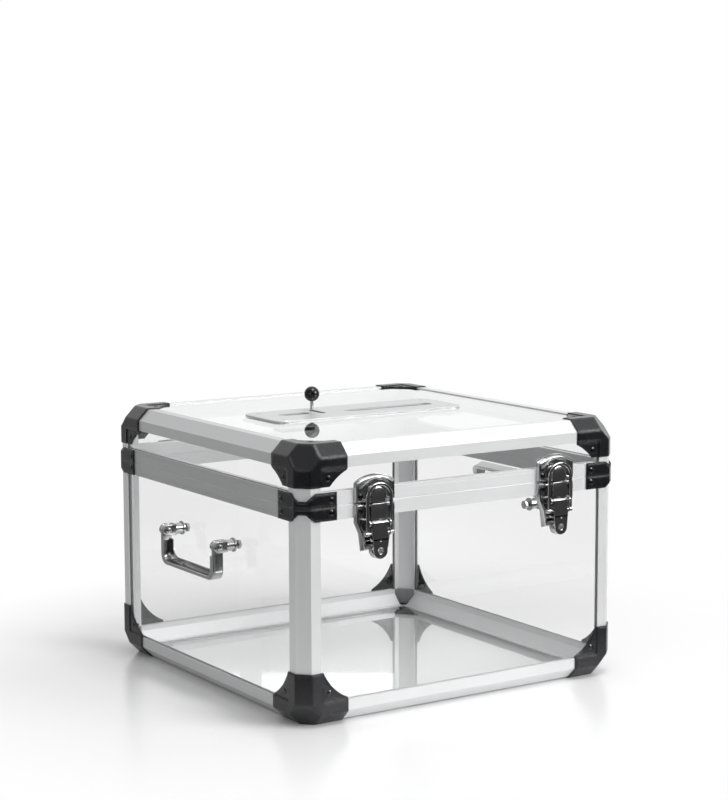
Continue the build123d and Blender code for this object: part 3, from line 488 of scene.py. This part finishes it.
@dataclass
class CaseDress:
    """Finishes of the carried-over parts."""

    nodes: dict[str, Any]
    finishes: Finishes

    def finish_for(self, name: str) -> str:
        """Chooses a part's finish from its name.

        Args:
            name: The part's name.

        Returns:
            The finish's name.
        """
        rules = (
            ("guard", "guard_black"), ("rim_angles", "guard_black"), ("corner_blocks", "block_grey"),
            ("corner_posts", "post_upright"), ("rim_bars", "rim_level"), ("panel", "sheet_clear"),
            ("rivets", "rivet_dark"), ("lever_plate", "plate_satin"), ("shutter_tray", "tray_steel"),
            ("shutter", "shutter_brushed"), ("voting_lever_knob", "ball_black"),
            ("counter", "counter_black"),
        )
        if "rail" in name:
            # Left rails get the darker copy of the metal, which is painted shade.
            if name.endswith("left"):
                return "rail_left_painted_shade"
            return "rail_along_y" if name.endswith("right") else "rail_along_x"
        for word, finish in rules:
            if word in name:
                return finish
        return "plated_steel"

    def dress(self) -> None:
        """Gives every carried-over part its finish."""
        for name, thing in self.nodes.items():
            self.finishes.give(thing, self.finish_for(name))
            LOG.info("dressed %s", name)


def arc(middle: Point, radius: float, start: float, end: float, steps: int = 10) -> Outline:
    """Points on an arc.

    Args:
        middle: The arc's middle.
        radius: Its radius.
        start: Angle of the first point in degrees, from the first axis.
        end: Angle of the last point.
        steps: Number of chords.

    Returns:
        The points.
    """
    angles = [math.radians(start + (end - start) * step / steps) for step in range(steps + 1)]
    return [(middle[0] + radius * math.cos(angle), middle[1] + radius * math.sin(angle)) for angle in angles]


def arch(half: float, low: float, side: float, top: float) -> Outline:
    """Outline with straight sides and an arched top.

    Args:
        half: Half of the width.
        low: Height of the lower edge.
        side: Height at which the sides end.
        top: Height of the arch's top.

    Returns:
        The points, from the lower left round to the upper left.
    """
    rise = top - side
    radius = (half * half + rise * rise) / (2.0 * rise)
    reach = math.degrees(math.asin(min(1.0, half / radius)))
    curve = arc((0.0, top - radius), radius, 90.0 - reach, 90.0 + reach, 20)
    return [(-half, low), (half, low), *curve]


def hoop(half: float, strap: float, low: float, side: float, top: float) -> Outline:
    """Outline of an arched band that is open at its lower end.

    Args:
        half: Half of the outer width.
        strap: The band's width.
        low: Height of the open end.
        side: Height at which the sides end.
        top: Height of the arch's top.

    Returns:
        The points.
    """
    outer = arch(half, low, side, top)
    inner = arch(half - strap, low, side, top - strap)
    return outer[1:] + outer[:1] + inner[:1] + inner[:1:-1] + inner[1:2]


def cradle(
    half: float, leg: float, top: float, low: float, grip: float, radius: float, inside: float,
) -> Outline:
    """Outline of a band with two legs and a straight grip below them.

    Args:
        half: Half of the outer width.
        leg: The legs' width.
        top: Height at which the legs end.
        low: Height of the grip's lower edge.
        grip: The grip's depth.
        radius: Radius of the outer corners.
        inside: Radius of the inner corners.

    Returns:
        The points.
    """
    edge, floor = half - leg - inside, low + grip + inside
    return [
        (-half, top), *arc((radius - half, low + radius), radius, 180.0, 270.0),
        *arc((half - radius, low + radius), radius, 270.0, 360.0), (half, top), (half - leg, top),
        *arc((edge, floor), inside, 0.0, -90.0), *arc((-edge, floor), inside, 270.0, 180.0),
        (leg - half, top),
    ]


@dataclass
class Form:
    """Mesh under construction, in millimetres along three directions from an origin in metres."""

    origin: Vector
    across: Vector
    rise: Vector
    out: Vector
    mesh: Any = field(default_factory=bmesh.new)
    weld: float = 0.0000005
    sharp: float = 35.0

    def turned(self, across: Vector, rise: Vector, out: Vector, shift: tuple[float, float, float]) -> "Form":
        """The same mesh, seen along other directions.

        Args:
            across: New first direction.
            rise: New second direction.
            out: New third direction.
            shift: The new origin, in this form's millimetres.

        Returns:
            The form.
        """
        return Form(self.point(*shift), across, rise, out, self.mesh)

    def point(self, across: float, rise: float, out: float) -> Vector:
        """Where three distances lead, in metres."""
        return self.origin + MM * (across * self.across + rise * self.rise + out * self.out)

    def draw_in(self, face: Any, steps: Profile) -> list[Any]:
        """Draws one face in and moves it, step by step.

        Args:
            face: The face.
            steps: For each step, how far the face is drawn in and how far out it lies.

        Returns:
            The faces round it that the first step left behind.
        """
        face.normal_update()
        facing = 1.0 if face.normal.dot(self.out) > 0.0 else -1.0
        first: list[Any] = []
        for (inset, out), (next_inset, next_out) in zip(steps, steps[1:]):
            sides = bmesh.ops.inset_region(
                self.mesh, faces=[face], thickness=MM * (next_inset - inset),
                depth=MM * facing * (next_out - out), use_boundary=True, use_even_offset=True,
            )
            first = first or sides["faces"]
        return first

    def shell(self, outline: Outline, front: Profile, back: Profile = ()) -> None:
        """Raises a block from an outline, and hollows its back.

        Args:
            outline: The points.
            front: For each step, how far the front is drawn in and how far out it lies.
            back: The same for the hollow, where it has one.
        """
        height = front[0][1]
        corners = [self.mesh.verts.new(self.point(across, rise, height)) for across, rise in outline]
        sides = self.draw_in(self.mesh.faces.new(corners), front)
        border = dict.fromkeys(edge for side in sides for edge in side.edges if edge.is_boundary)
        cap = bmesh.ops.contextual_create(self.mesh, geom=list(border))["faces"][0]
        self.draw_in(cap, (front[0], *back))

    def plate(self, outlines: list[Outline], low: float, high: float, soft: float) -> None:
        """Adds a plate with rounded edges; outlines after the first are holes.

        Args:
            outlines: The outer outline and those of the holes.
            low: Distance of its back.
            high: Distance of its front.
            soft: Radius of its edges.
        """
        curve = bpy.data.curves.new("plate", "CURVE")
        curve.dimensions = "2D"
        curve.fill_mode = "BOTH"
        curve.extrude = (high - low) / 2.0 - soft
        curve.bevel_depth = soft
        curve.bevel_resolution = 2
        curve.offset = -soft
        for outline in outlines:
            spline = curve.splines.new("POLY")
            spline.points.add(len(outline) - 1)
            spline.use_cyclic_u = True
            for point, (across, rise) in zip(spline.points, outline):
                point.co = (across, rise, 0.0, 1.0)
        thing = bpy.data.objects.new("plate", curve)
        bpy.context.scene.collection.objects.link(thing)
        bpy.context.view_layer.update()
        shown = thing.evaluated_get(bpy.context.evaluated_depsgraph_get())
        mesh = bpy.data.meshes.new_from_object(shown)
        bpy.data.objects.remove(thing)
        place = Matrix((self.across * MM, self.rise * MM, self.out * MM)).transposed().to_4x4()
        mesh.transform(Matrix.Translation(self.point(0.0, 0.0, (low + high) / 2.0)) @ place)
        self.mesh.from_mesh(mesh)
        bpy.data.meshes.remove(mesh)

    def turning(self, profile: Profile, steps: int = 28) -> None:
        """Revolves a profile of radius and distance out about the third direction.

        Args:
            profile: The points, closed by this call unless they start and end on the axis.
            steps: Number of sectors.
        """
        points = [self.mesh.verts.new(self.point(radius, 0.0, out)) for radius, out in profile]
        edges = [self.mesh.edges.new(pair) for pair in zip(points, points[1:])]
        if profile[0][0] > 0.0:
            edges.append(self.mesh.edges.new((points[-1], points[0])))
        bmesh.ops.spin(
            self.mesh, geom=[*points, *edges], cent=self.origin, axis=self.out, angle=math.tau,
            steps=steps, use_merge=True, use_duplicate=False,
        )

    def finish(self, name: str) -> Any:
        """Turns the mesh into an object.

        Args:
            name: The object's name.

        Returns:
            The object.
        """
        bmesh.ops.remove_doubles(self.mesh, verts=self.mesh.verts, dist=self.weld)
        bmesh.ops.recalc_face_normals(self.mesh, faces=self.mesh.faces)
        mesh = bpy.data.meshes.new(name)
        self.mesh.to_mesh(mesh)
        self.mesh.free()
        mesh.polygons.foreach_set("use_smooth", [True] * len(mesh.polygons))
        mesh.set_sharp_from_angle(angle=math.radians(self.sharp))
        thing = bpy.data.objects.new(name, mesh)
        bpy.context.scene.collection.objects.link(thing)
        LOG.info("made %s", name)
        return thing


@dataclass
class Fitting:
    """What each fitting works from: the finishes, and where the box's joints turn."""

    finishes: Finishes
    pivots: dict[str, Vector]

    def place(self, form: Form, name: str, body: str, replaced: str) -> None:
        """Finishes one plated fitting.

        Args:
            form: Its mesh.
            name: Its name.
            body: The body that it rides on.
            replaced: The solid that it stands for.
        """
        thing = form.finish(name)
        self.finishes.give(thing, "plated_steel")
        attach(thing, body)
        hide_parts(replaced)


@dataclass
class DrawLatch(Fitting):
    """One draw latch in millimetres: heights from the seam, distances out from the box's face."""

    hand: str
    pin_drop: float = 21.4
    pin_out: float = 10.8
    shell_half: float = 25.5
    shell_play: float = 0.3
    shell_face: float = 4.7
    bead_front: Profile = (
        (0.0, 0.1), (0.1, 0.8), (1.8, 4.9), (2.3, 5.5), (2.9, 5.7), (3.5, 5.5), (4.0, 5.0), (4.8, 4.8),
    )
    bead_back: Profile = ((1.5, 0.1), (5.0, 4.0))
    keeper_side: float = 22.6
    keeper_top: float = 30.6
    crescent_half: float = 20.4
    crescent_strap: float = 2.4
    crescent_low: float = 12.2
    crescent_side: float = 15.6
    crescent_top: float = 26.6
    crescent_front: Profile = ((0.0, 4.7), (0.2, 5.8), (0.8, 6.3))
    boss_half: float = 9.8
    boss_play: float = 0.5
    boss_round: float = 1.0
    round_share: float = 0.3
    keeper_boss_side: float = 7.6
    keeper_boss_top: float = 17.4
    keeper_boss_face: float = 9.6
    base_boss_drop: float = 17.6
    base_boss_face: float = 11.6
    shoulder_drop: float = 20.6
    waist_drop: float = 33.0
    waist_half: float = 20.0
    foot_drop: float = 52.0
    foot_half: float = 17.5
    ear_foot: float = 4.8
    ear_radius: float = 3.6
    ear_inner: float = 12.3
    ear_outer: float = 13.9
    ear_soft: float = 0.3
    tab: Profile = ((3.9, 11.6), (4.3, 12.0), (8.6, 12.0), (9.2, 11.4), (9.4, 4.6), (3.9, 4.6))
    lever_half: float = 9.8
    lever_soft: float = 0.5
    lever_wall: float = 1.8
    lever_kick: float = 0.7
    barrel_radius: float = 2.8
    bend_drop: float = 30.6
    toe_drop: float = 37.0
    joint_drop: float = 40.0
    flange: Profile = ((8.4, -22.6), (7.5, -32.4), (8.6, -35.6), (13.2, -36.0), (13.2, -21.4))
    flange_inner: float = 8.2
    flange_outer: float = 9.7
    flange_soft: float = 0.2
    stud: Profile = (
        (0.0, 8.4), (1.6, 8.4), (1.6, 17.1), (2.5, 17.1), (2.5, 17.6), (1.6, 18.2), (0.0, 18.3),
    )
    eye_drop: float = 51.2
    eye_radius: float = 9.0
    eye_hole_radius: float = 3.4
    eye_neck_drop: float = 38.0
    dot_drop: float = 39.6
    dot_radius: float = 1.3
    loop_half: float = 17.0
    loop_strap: float = 3.8
    loop_drop: float = 32.4
    loop_side: float = 7.9
    loop_top: float = 22.4
    loop_back: float = 10.1
    loop_front: float = 12.7
    loop_soft: float = 1.0
    loop_pin_out: float = 10.3
    loop_eye: Profile = ((1.7, -1.8), (2.7, -1.8), (3.1, -1.4), (3.1, 1.4), (2.7, 1.8), (1.7, 1.8))

    def form(self) -> Form:
        """Starts a form with its origin at the seam, on the box's face.

        Returns:
            The form.
        """
        across, rise, out = Vector((1, 0, 0)), Vector((0, 0, 1)), Vector((0, -1, 0))
        pin = self.pivots[f"latch_lever_{self.hand}"]
        return Form(pin + MM * (self.pin_drop * rise - self.pin_out * out), across, rise, out)

    def boss_front(self, face: float) -> Profile:
        """Steps of a boss that ends in a rounded face.

        Args:
            face: How far out the face lies.

        Returns:
            The steps.
        """
        near = self.round_share * self.boss_round
        return (
            (0.0, self.shell_face), (0.0, face - self.boss_round), (near, face - near),
            (self.boss_round, face),
        )

    def keeper(self) -> None:
        """Makes the upper shell, with a crescent and a boss."""
        form = self.form()
        outline = arch(self.shell_half, self.shell_play, self.keeper_side, self.keeper_top)
        form.shell(outline, self.bead_front, self.bead_back)
        crescent = hoop(
            self.crescent_half, self.crescent_strap, self.crescent_low, self.crescent_side,
            self.crescent_top,
        )
        form.shell(crescent, self.crescent_front)
        boss = arch(self.boss_half, self.boss_play, self.keeper_boss_side, self.keeper_boss_top)
        form.shell(boss, self.boss_front(self.keeper_boss_face))
        self.place(form, f"latch_keeper_pressed_{self.hand}", "lid", f"latch_keeper_{self.hand}")

    def base(self) -> None:
        """Makes the lower shell, with its boss, ears and padlock tab."""
        form = self.form()
        left = [
            (-self.shell_half, -self.shell_play), (-self.shell_half, -self.shoulder_drop),
            (-self.waist_half, -self.waist_drop), (-self.foot_half, -self.foot_drop),
        ]
        outline = left + [(-across, rise) for across, rise in reversed(left)]
        form.shell(outline, self.bead_front, self.bead_back)
        form.shell([
            (-self.boss_half, -self.base_boss_drop), (self.boss_half, -self.base_boss_drop),
            (self.boss_half, -self.boss_play), (-self.boss_half, -self.boss_play),
        ], self.boss_front(self.base_boss_face))
        ear = form.turned(form.out, form.rise, form.across, (0.0, 0.0, 0.0))
        ear_outline = [
            (self.ear_foot, -self.pin_drop - self.ear_radius),
            *arc((self.pin_out, -self.pin_drop), self.ear_radius, -90.0, 90.0),
            (self.ear_foot, self.ear_radius - self.pin_drop),
        ]
        for turn in (-1, 1):
            reach = sorted((turn * self.ear_inner, turn * self.ear_outer))
            ear.plate([ear_outline], *reach, self.ear_soft)
        form.turned(form.across, form.rise, form.out, (0.0, -self.eye_drop, 0.0)).turning(self.tab)
        self.place(form, f"latch_shell_pressed_{self.hand}", "base", f"latch_base_{self.hand}")

    def lever(self) -> None:
        """Makes the cranked lever, with a padlock eye and two studs."""
        form = self.form()
        front = self.pin_out + self.barrel_radius
        back = front - self.lever_wall
        toe_front = front + self.lever_kick
        toe_back = toe_front - self.lever_wall
        section = form.turned(form.out, form.rise, form.across, (0.0, 0.0, 0.0))
        section.plate([[
            *arc((self.pin_out, -self.pin_drop), self.barrel_radius, 0.0, 270.0, 16),
            (back, -self.pin_drop - self.barrel_radius), (back, -self.bend_drop), (toe_back, -self.toe_drop),
            (toe_back, -self.joint_drop), (toe_front, -self.joint_drop), (toe_front, -self.toe_drop),
            (front, -self.bend_drop),
        ]], -self.lever_half, self.lever_half, self.lever_soft)
        for turn in (-1, 1):
            reach = sorted((turn * self.flange_inner, turn * self.flange_outer))
            section.plate([list(self.flange)], *reach, self.flange_soft)
            pivot = (self.loop_pin_out, -self.loop_drop, 0.0)
            section.turned(form.out, form.rise, turn * form.across, pivot).turning(self.stud)
        middle = (0.0, -self.eye_drop)
        hole = arc(middle, self.eye_hole_radius, 345.0, 0.0, 23)
        dot = arc((0.0, -self.dot_drop), self.dot_radius, 330.0, 0.0, 11)
        eye = [
            (-self.lever_half, -self.eye_neck_drop), *arc(middle, self.eye_radius, 200.0, 340.0, 16),
            (self.lever_half, -self.eye_neck_drop),
        ]
        form.plate([eye, hole, dot], toe_back, toe_front, self.lever_soft)
        name = f"latch_lever_pressed_{self.hand}"
        self.place(form, name, f"lever_{self.hand}", f"latch_lever_{self.hand}")

    def loop(self) -> None:
        """Makes the draw loop, rounded all over, with its two eyes."""
        form = self.form()
        outline = hoop(self.loop_half, self.loop_strap, -self.loop_drop, self.loop_side, self.loop_top)
        form.plate([outline], self.loop_back, self.loop_front, self.loop_soft)
        middle = self.loop_half - self.loop_strap / 2.0
        for turn in (-1, 1):
            place = (turn * middle, -self.loop_drop, self.loop_pin_out)
            form.turned(form.out, form.rise, form.across, place).turning(self.loop_eye)
        self.place(form, f"latch_loop_round_{self.hand}", f"loop_{self.hand}", f"latch_loop_{self.hand}")

    def build(self) -> None:
        """Makes the latch's four pieces."""
        self.keeper()
        self.base()
        self.lever()
        self.loop()


@dataclass
class DropHandles(Fitting):
    """Two drop handles in millimetres, measured from their pivots.

    The left one hangs straight down and the right one leans on the panel.
    """

    hands: tuple[tuple[int, str], ...] = ((-1, "left"), (1, "right"))
    lean: float = 22.5
    half: float = 62.0
    depth: float = 38.5
    half_width: float = 6.2
    wall: float = 1.6
    soft: float = 0.5
    corner_radius: float = 12.0
    grip_top: float = 8.0
    wall_top: float = 10.5
    wall_leg: float = 8.0
    wall_outer: float = 6.25
    wall_inner: float = 4.75
    rear_grip: float = 8.5
    rear_corner: float = 13.0
    front_grip: float = 4.0
    front_corner: float = 8.0
    eye_half: float = 2.0
    eye_radius: float = 6.2
    eye_foot: float = 12.0
    spread: float = 60.0
    post: Profile = (
        (0.0, -28.4), (2.5, -28.4), (2.5, -21.1), (7.6, -21.1), (8.0, -20.7), (8.0, -19.4), (7.6, -19.0),
        (6.5, -19.0), (6.5, -9.9), (6.1, -9.5), (0.0, -9.5),
    )
    fork_radius: float = 6.5
    fork_foot: float = 10.4
    fork_inner: float = 2.3
    fork_outer: float = 6.4
    fork_soft: float = 1.4
    pin: Profile = (
        (0.0, -7.7), (2.6, -7.6), (3.4, -7.0), (3.4, -6.0), (2.4, -6.0), (2.4, 6.0), (3.4, 6.0),
        (3.4, 7.0), (2.6, 7.6), (0.0, 7.7),
    )

    def bail(self, side: int, hand: str) -> None:
        """Makes one bail, a channel whose legs end in flat eyes.

        Args:
            side: -1 for the left handle and 1 for the right one.
            hand: The handle's word in the parts' names.
        """
        turn = math.radians(90.0 + self.lean if side > 0 else -90.0)
        rise = Vector((-math.cos(turn), 0.0, -math.sin(turn)))
        across = Vector((0.0, float(side), 0.0))
        form = Form(self.pivots[f"bail_{hand}"], across, rise, across.cross(rise))
        inside = self.corner_radius - self.wall
        rim = cradle(
            self.half, self.wall, -self.grip_top, -self.depth, self.wall, self.corner_radius, inside,
        )
        form.plate([rim], -self.half_width, self.half_width, self.soft)
        walls = ((-1, self.rear_grip, self.rear_corner), (1, self.front_grip, self.front_corner))
        for face, grip, corner in walls:
            wall = cradle(
                self.half, self.wall_leg, -self.wall_top, -self.depth, grip, self.corner_radius, corner,
            )
            form.plate([wall], *sorted((face * self.wall_outer, face * self.wall_inner)), self.soft)
            eye = form.turned(form.out, form.rise, form.across, (face * self.spread, 0.0, 0.0))
            outline = arch(self.eye_radius, -self.eye_foot, 0.0, self.eye_radius)
            eye.plate([outline], -self.eye_half, self.eye_half, self.soft)
        self.place(form, f"bail_round_{hand}", f"bail_{hand}", f"handle_bail_{hand}")

    def posts(self) -> None:
        """Makes the four forked handle posts with their pins."""
        whole = Form(Vector((0, 0, 0)), Vector((1, 0, 0)), Vector((0, 1, 0)), Vector((0, 0, 1)))
        upward = whole.out
        for side, hand in self.hands:
            outward = float(side) * whole.across
            level = upward.cross(outward)
            for end in (-self.spread, self.spread):
                origin = self.pivots[f"bail_{hand}"] + MM * end * level
                Form(origin, level, upward, outward, whole.mesh).turning(self.post)
                fork = Form(origin, upward, outward, level, whole.mesh)
                outline = arch(self.fork_radius, -self.fork_foot, 0.0, self.fork_radius)
                fork.plate([outline], -self.fork_outer, -self.fork_inner, self.fork_soft)
                fork.plate([outline], self.fork_inner, self.fork_outer, self.fork_soft)
                fork.turning(self.pin)
        self.place(whole, "handle_posts_forked", "base", "handle_posts")


@dataclass
class PostEnds:
    """The uprights' faces in the notches of the rims' angle pieces, in millimetres."""

    finishes: Finishes
    seam: float
    band: float = 15.1
    gap: float = 0.1
    reach: float = 17.0
    chamfer: float = 12.4
    proud: float = 0.06
    skin: float = 0.2

    def strip(self, half: float) -> Outline:
        """Outline of one strip, seen from above.

        Args:
            half: Half of the case's width.

        Returns:
            The points.
        """
        outer, inner = half + self.proud, half - self.skin
        bend, inner_bend = half - self.chamfer, half - self.chamfer - self.gap
        end = half - self.reach
        return [
            (outer, end), (outer, bend), (bend, outer), (end, outer),
            (end, inner), (inner_bend, inner), (inner, inner_bend), (inner, end),
        ]

    def build(self) -> None:
        """Makes the strips of the base and those of the lid."""
        low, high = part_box("base_corner_posts")
        middle = (low + high) / 2.0
        strip = self.strip((high.x - low.x) / 2.0 / MM)
        height = self.band + self.gap
        for name, start, body in (
            ("base_post_ends", -height - self.gap, "base"), ("lid_post_ends", self.gap, "lid"),
        ):
            origin = Vector((middle.x, middle.y, self.seam))
            form = Form(origin, Vector((1, 0, 0)), Vector((0, 1, 0)), Vector((0, 0, 1)))
            for side_x in (-1, 1):
                for side_y in (-1, 1):
                    outline = [(side_x * across, side_y * rise) for across, rise in strip]
                    form.shell(outline, ((0.0, start), (0.0, start + height)))
            thing = form.finish(name)
            self.finishes.give(thing, "post_upright")
            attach(thing, body)


@dataclass
class CounterDigits:
    """White digits on the counter's wheels."""

    finishes: Finishes
    units: Vector
    pitch: float = 0.0072
    radius: float = 0.007
    height: float = 0.0040
    type_share: float = 1.35
    bolder: float = 0.00012
    lift: float = 0.00004
    count: int = 10
    shown: tuple[int, ...] = (0, 0, 0, 0, 6)

    def digit(self, value: int, x: float, turn: float) -> Any:
        """Makes one digit on a wheel's rim.

        Args:
            value: The digit.
            x: Where it is along the axle.
            turn: Angle from the top of the wheel, towards the back.

        Returns:
            The digit's mesh object.
        """
        curve = bpy.data.curves.new(f"digit_{value}", "FONT")
        curve.body = str(value)
        curve.size = self.height * self.type_share
        curve.align_x = "CENTER"
        curve.align_y = "CENTER"
        curve.offset = self.bolder
        curve.resolution_u = 2
        text = bpy.data.objects.new("digit", curve)
        bpy.context.scene.collection.objects.link(text)
        bpy.context.view_layer.update()
        shown = text.evaluated_get(bpy.context.evaluated_depsgraph_get())
        mesh = bpy.data.meshes.new_from_object(shown)
        bpy.data.objects.remove(text)
        form = bmesh.new()
        form.from_mesh(mesh)
        for vert in form.verts:
            angle = turn + vert.co.y / self.radius
            reach = self.radius + self.lift
            rise = Vector((0.0, math.sin(angle), math.cos(angle)))
            vert.co = Vector((x + vert.co.x, self.units.y, self.units.z)) + reach * rise
        form.to_mesh(mesh)
        form.free()
        return bpy.data.objects.new("digit", mesh)

    def build(self) -> None:
        """Puts ten digits on each wheel and joins those of each body."""
        groups: dict[str, list[Any]] = {"counter_digits": [], "counter_units_digits": []}
        last = len(self.shown) - 1
        for index, value in enumerate(self.shown):
            x = self.units.x + (index - last) * self.pitch
            name = "counter_units_digits" if index == last else "counter_digits"
            for step in range(self.count):
                turn = math.tau * step / self.count
                groups[name].append(self.digit((value + step) % self.count, x, turn))
        for name, digits in groups.items():
            form = bmesh.new()
            for digit in digits:
                form.from_mesh(digit.data)
                bpy.data.objects.remove(digit)
            mesh = bpy.data.meshes.new(name)
            form.to_mesh(mesh)
            form.free()
            piece = bpy.data.objects.new(name, mesh)
            bpy.context.scene.collection.objects.link(piece)
            self.finishes.give(piece, "digit_white")
            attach(piece, "units_wheel" if name == "counter_units_digits" else "lid")
            LOG.info("made %s", name)


@dataclass(frozen=True)
class Lamp:
    """One soft area lamp: where it stands, its width and height, and its power in watts."""

    name: str
    place: tuple[float, float, float]
    size: Point
    power: float


@dataclass
class Studio:
    """Camera, lamps, floor and world."""

    azimuth: float = 0.577887
    pitch: float = 0.125611
    roll: float = -0.0026876
    focal_pixels: float = 2020.815
    picture_height: float = 800.0
    sensor: float = 36.0
    soft_light: float = 0.45
    place: tuple[float, float, float] = (-1.28975, -1.98254, 0.61401)
    aim: tuple[float, float, float] = (0.0, 0.0, 0.15)
    farthest: float = 50.0
    floor_half: float = 12.0
    floor_fade: Fade = (0.27, 0.62, 0.0, 1.0)
    room_left: Fade = (-0.6, -0.05, 0.3, 1.0)
    room_front: Fade = (-0.45, 0.1, 0.06, 1.0)
    room_above: Fade = (0.3, 0.75, 0.0, 1.0)
    lamps: tuple[Lamp, ...] = (
        Lamp("key", (1.6, -2.4, 1.5), (1.6, 1.2), 60.0),
        Lamp("fill", (-2.4, -1.6, 0.9), (1.2, 1.2), 7.0),
        Lamp("top", (0.12, -0.61, 2.25), (0.7, 0.7), 15.0),
    )

    def camera(self) -> None:
        """Puts the camera where the photograph was taken from."""
        data = bpy.data.cameras.new("camera")
        data.sensor_width = self.sensor
        data.lens = self.focal_pixels * self.sensor / self.picture_height
        data.clip_end = self.farthest
        ahead = Vector((
            math.sin(self.azimuth) * math.cos(self.pitch), math.cos(self.azimuth) * math.cos(self.pitch),
            -math.sin(self.pitch),
        ))
        level = Vector((math.cos(self.azimuth), -math.sin(self.azimuth), 0.0))
        raised = level.cross(ahead)
        right = math.cos(self.roll) * level + math.sin(self.roll) * raised
        above = -math.sin(self.roll) * level + math.cos(self.roll) * raised
        turn = Matrix((right, above, -ahead)).transposed().to_4x4()
        camera = bpy.data.objects.new("camera", data)
        camera.matrix_world = Matrix.Translation(self.place) @ turn
        bpy.context.scene.collection.objects.link(camera)
        bpy.context.scene.camera = camera

    def hang(self, lamp: Lamp) -> None:
        """Adds one lamp, aimed at the middle of the box.

        Args:
            lamp: The lamp.
        """
        data = bpy.data.lights.new(lamp.name, "AREA")
        data.shape = "RECTANGLE"
        data.size, data.size_y = lamp.size
        data.energy = lamp.power
        thing = bpy.data.objects.new(lamp.name, data)
        turn = (Vector(self.aim) - Vector(lamp.place)).to_track_quat("-Z", "Y").to_matrix().to_4x4()
        thing.matrix_world = Matrix.Translation(lamp.place) @ turn
        bpy.context.scene.collection.objects.link(thing)

    def floor(self) -> None:
        """Adds the pale floor, which turns plain white away from the box."""
        form = bmesh.new()
        bmesh.ops.create_grid(form, x_segments=1, y_segments=1, size=self.floor_half)
        mesh = bpy.data.meshes.new("floor")
        form.to_mesh(mesh)
        form.free()
        floor = bpy.data.objects.new("floor", mesh)
        bpy.context.scene.collection.objects.link(floor)
        material, kit = new_kit("floor_pale")
        seen = (kit.ray("Camera") + kit.ray("Glossy") + kit.ray("Transmission")).at_most(1.0)
        place = kit.position()
        reach = kit.node("ShaderNodeVectorMath", {"operation": "LENGTH"}, {0: place}, "Value")
        direction = kit.node("ShaderNodeVectorMath", {"operation": "NORMALIZE"}, {0: place}, "Vector")
        shade = kit.ray("Glossy") * self.room(kit, direction) + (1.0 - kit.ray("Glossy"))
        matt = kit.node("ShaderNodeBsdfPrincipled", {}, {
            "Base Color": (0.93, 0.93, 0.93, 1.0), "Roughness": 0.22, "Specular IOR Level": 0.35,
        })
        white = kit.node("ShaderNodeEmission", {}, {"Color": shade, "Strength": 1.0})
        fade = kit.ramp(reach, *self.floor_fade)
        mixed = kit.node("ShaderNodeMixShader", {}, {0: fade * seen, 1: matt, 2: white})
        kit.node("ShaderNodeOutputMaterial", {}, {"Surface": mixed})
        floor.data.materials.append(material)

    def room(self, kit: NodeKit, direction: Sock) -> Sock:
        """Brightness of the room that shiny faces mirror, pale behind, grey at the left and dark in front.

        Args:
            kit: Where the nodes go.
            direction: Direction of length 1 from the box.

        Returns:
            The brightness.
        """
        left = kit.ramp(kit.part_of(direction, Axis.X), *self.room_left)
        front = kit.ramp(kit.part_of(direction, Axis.Y), *self.room_front)
        above = kit.ramp(kit.part_of(direction, Axis.Z), *self.room_above)
        return (left * front).at_least(above * left)

    def world(self) -> None:
        """Lights the box softly from a world that looks white but mirrors as a room."""
        world = bpy.data.worlds.new("studio")
        world.use_nodes = True
        bpy.context.scene.world = world
        kit = NodeKit(world.node_tree)
        seen = (kit.ray("Camera") + kit.ray("Transmission")).at_most(1.0)
        room = self.room(kit, kit.node("ShaderNodeTexCoord", {}, {}, "Generated"))
        gloss = kit.ray("Glossy")
        level = seen + (1.0 - seen) * (gloss * room + (1.0 - gloss) * self.soft_light)
        shade = kit.node("ShaderNodeBackground", {}, {"Color": level, "Strength": 1.0})
        kit.node("ShaderNodeOutputWorld", {}, {"Surface": shade})

    def build(self) -> None:
        """Sets up the whole studio."""
        bpy.context.scene.view_settings.view_transform = "Standard"
        self.camera()
        self.floor()
        self.world()
        for lamp in self.lamps:
            self.hang(lamp)


def main() -> None:
    """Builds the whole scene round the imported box."""
    logging.basicConfig(level=logging.INFO)
    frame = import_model()
    finishes = Finishes()
    finishes.build()
    CaseDress(frame["nodes"], finishes).dress()
    pivots = {joint["name"]: Vector(joint["pos_m"]) for joint in frame["joints"] if "pos_m" in joint}
    handles = DropHandles(finishes, pivots)
    for side, hand in handles.hands:
        DrawLatch(finishes, pivots, hand).build()
        handles.bail(side, hand)
    handles.posts()
    PostEnds(finishes, pivots["lid_hinge"].z).build()
    CounterDigits(finishes, pivots["units_wheel_turn"]).build()
    Studio().build()


if __name__ == "__main__":
    main()
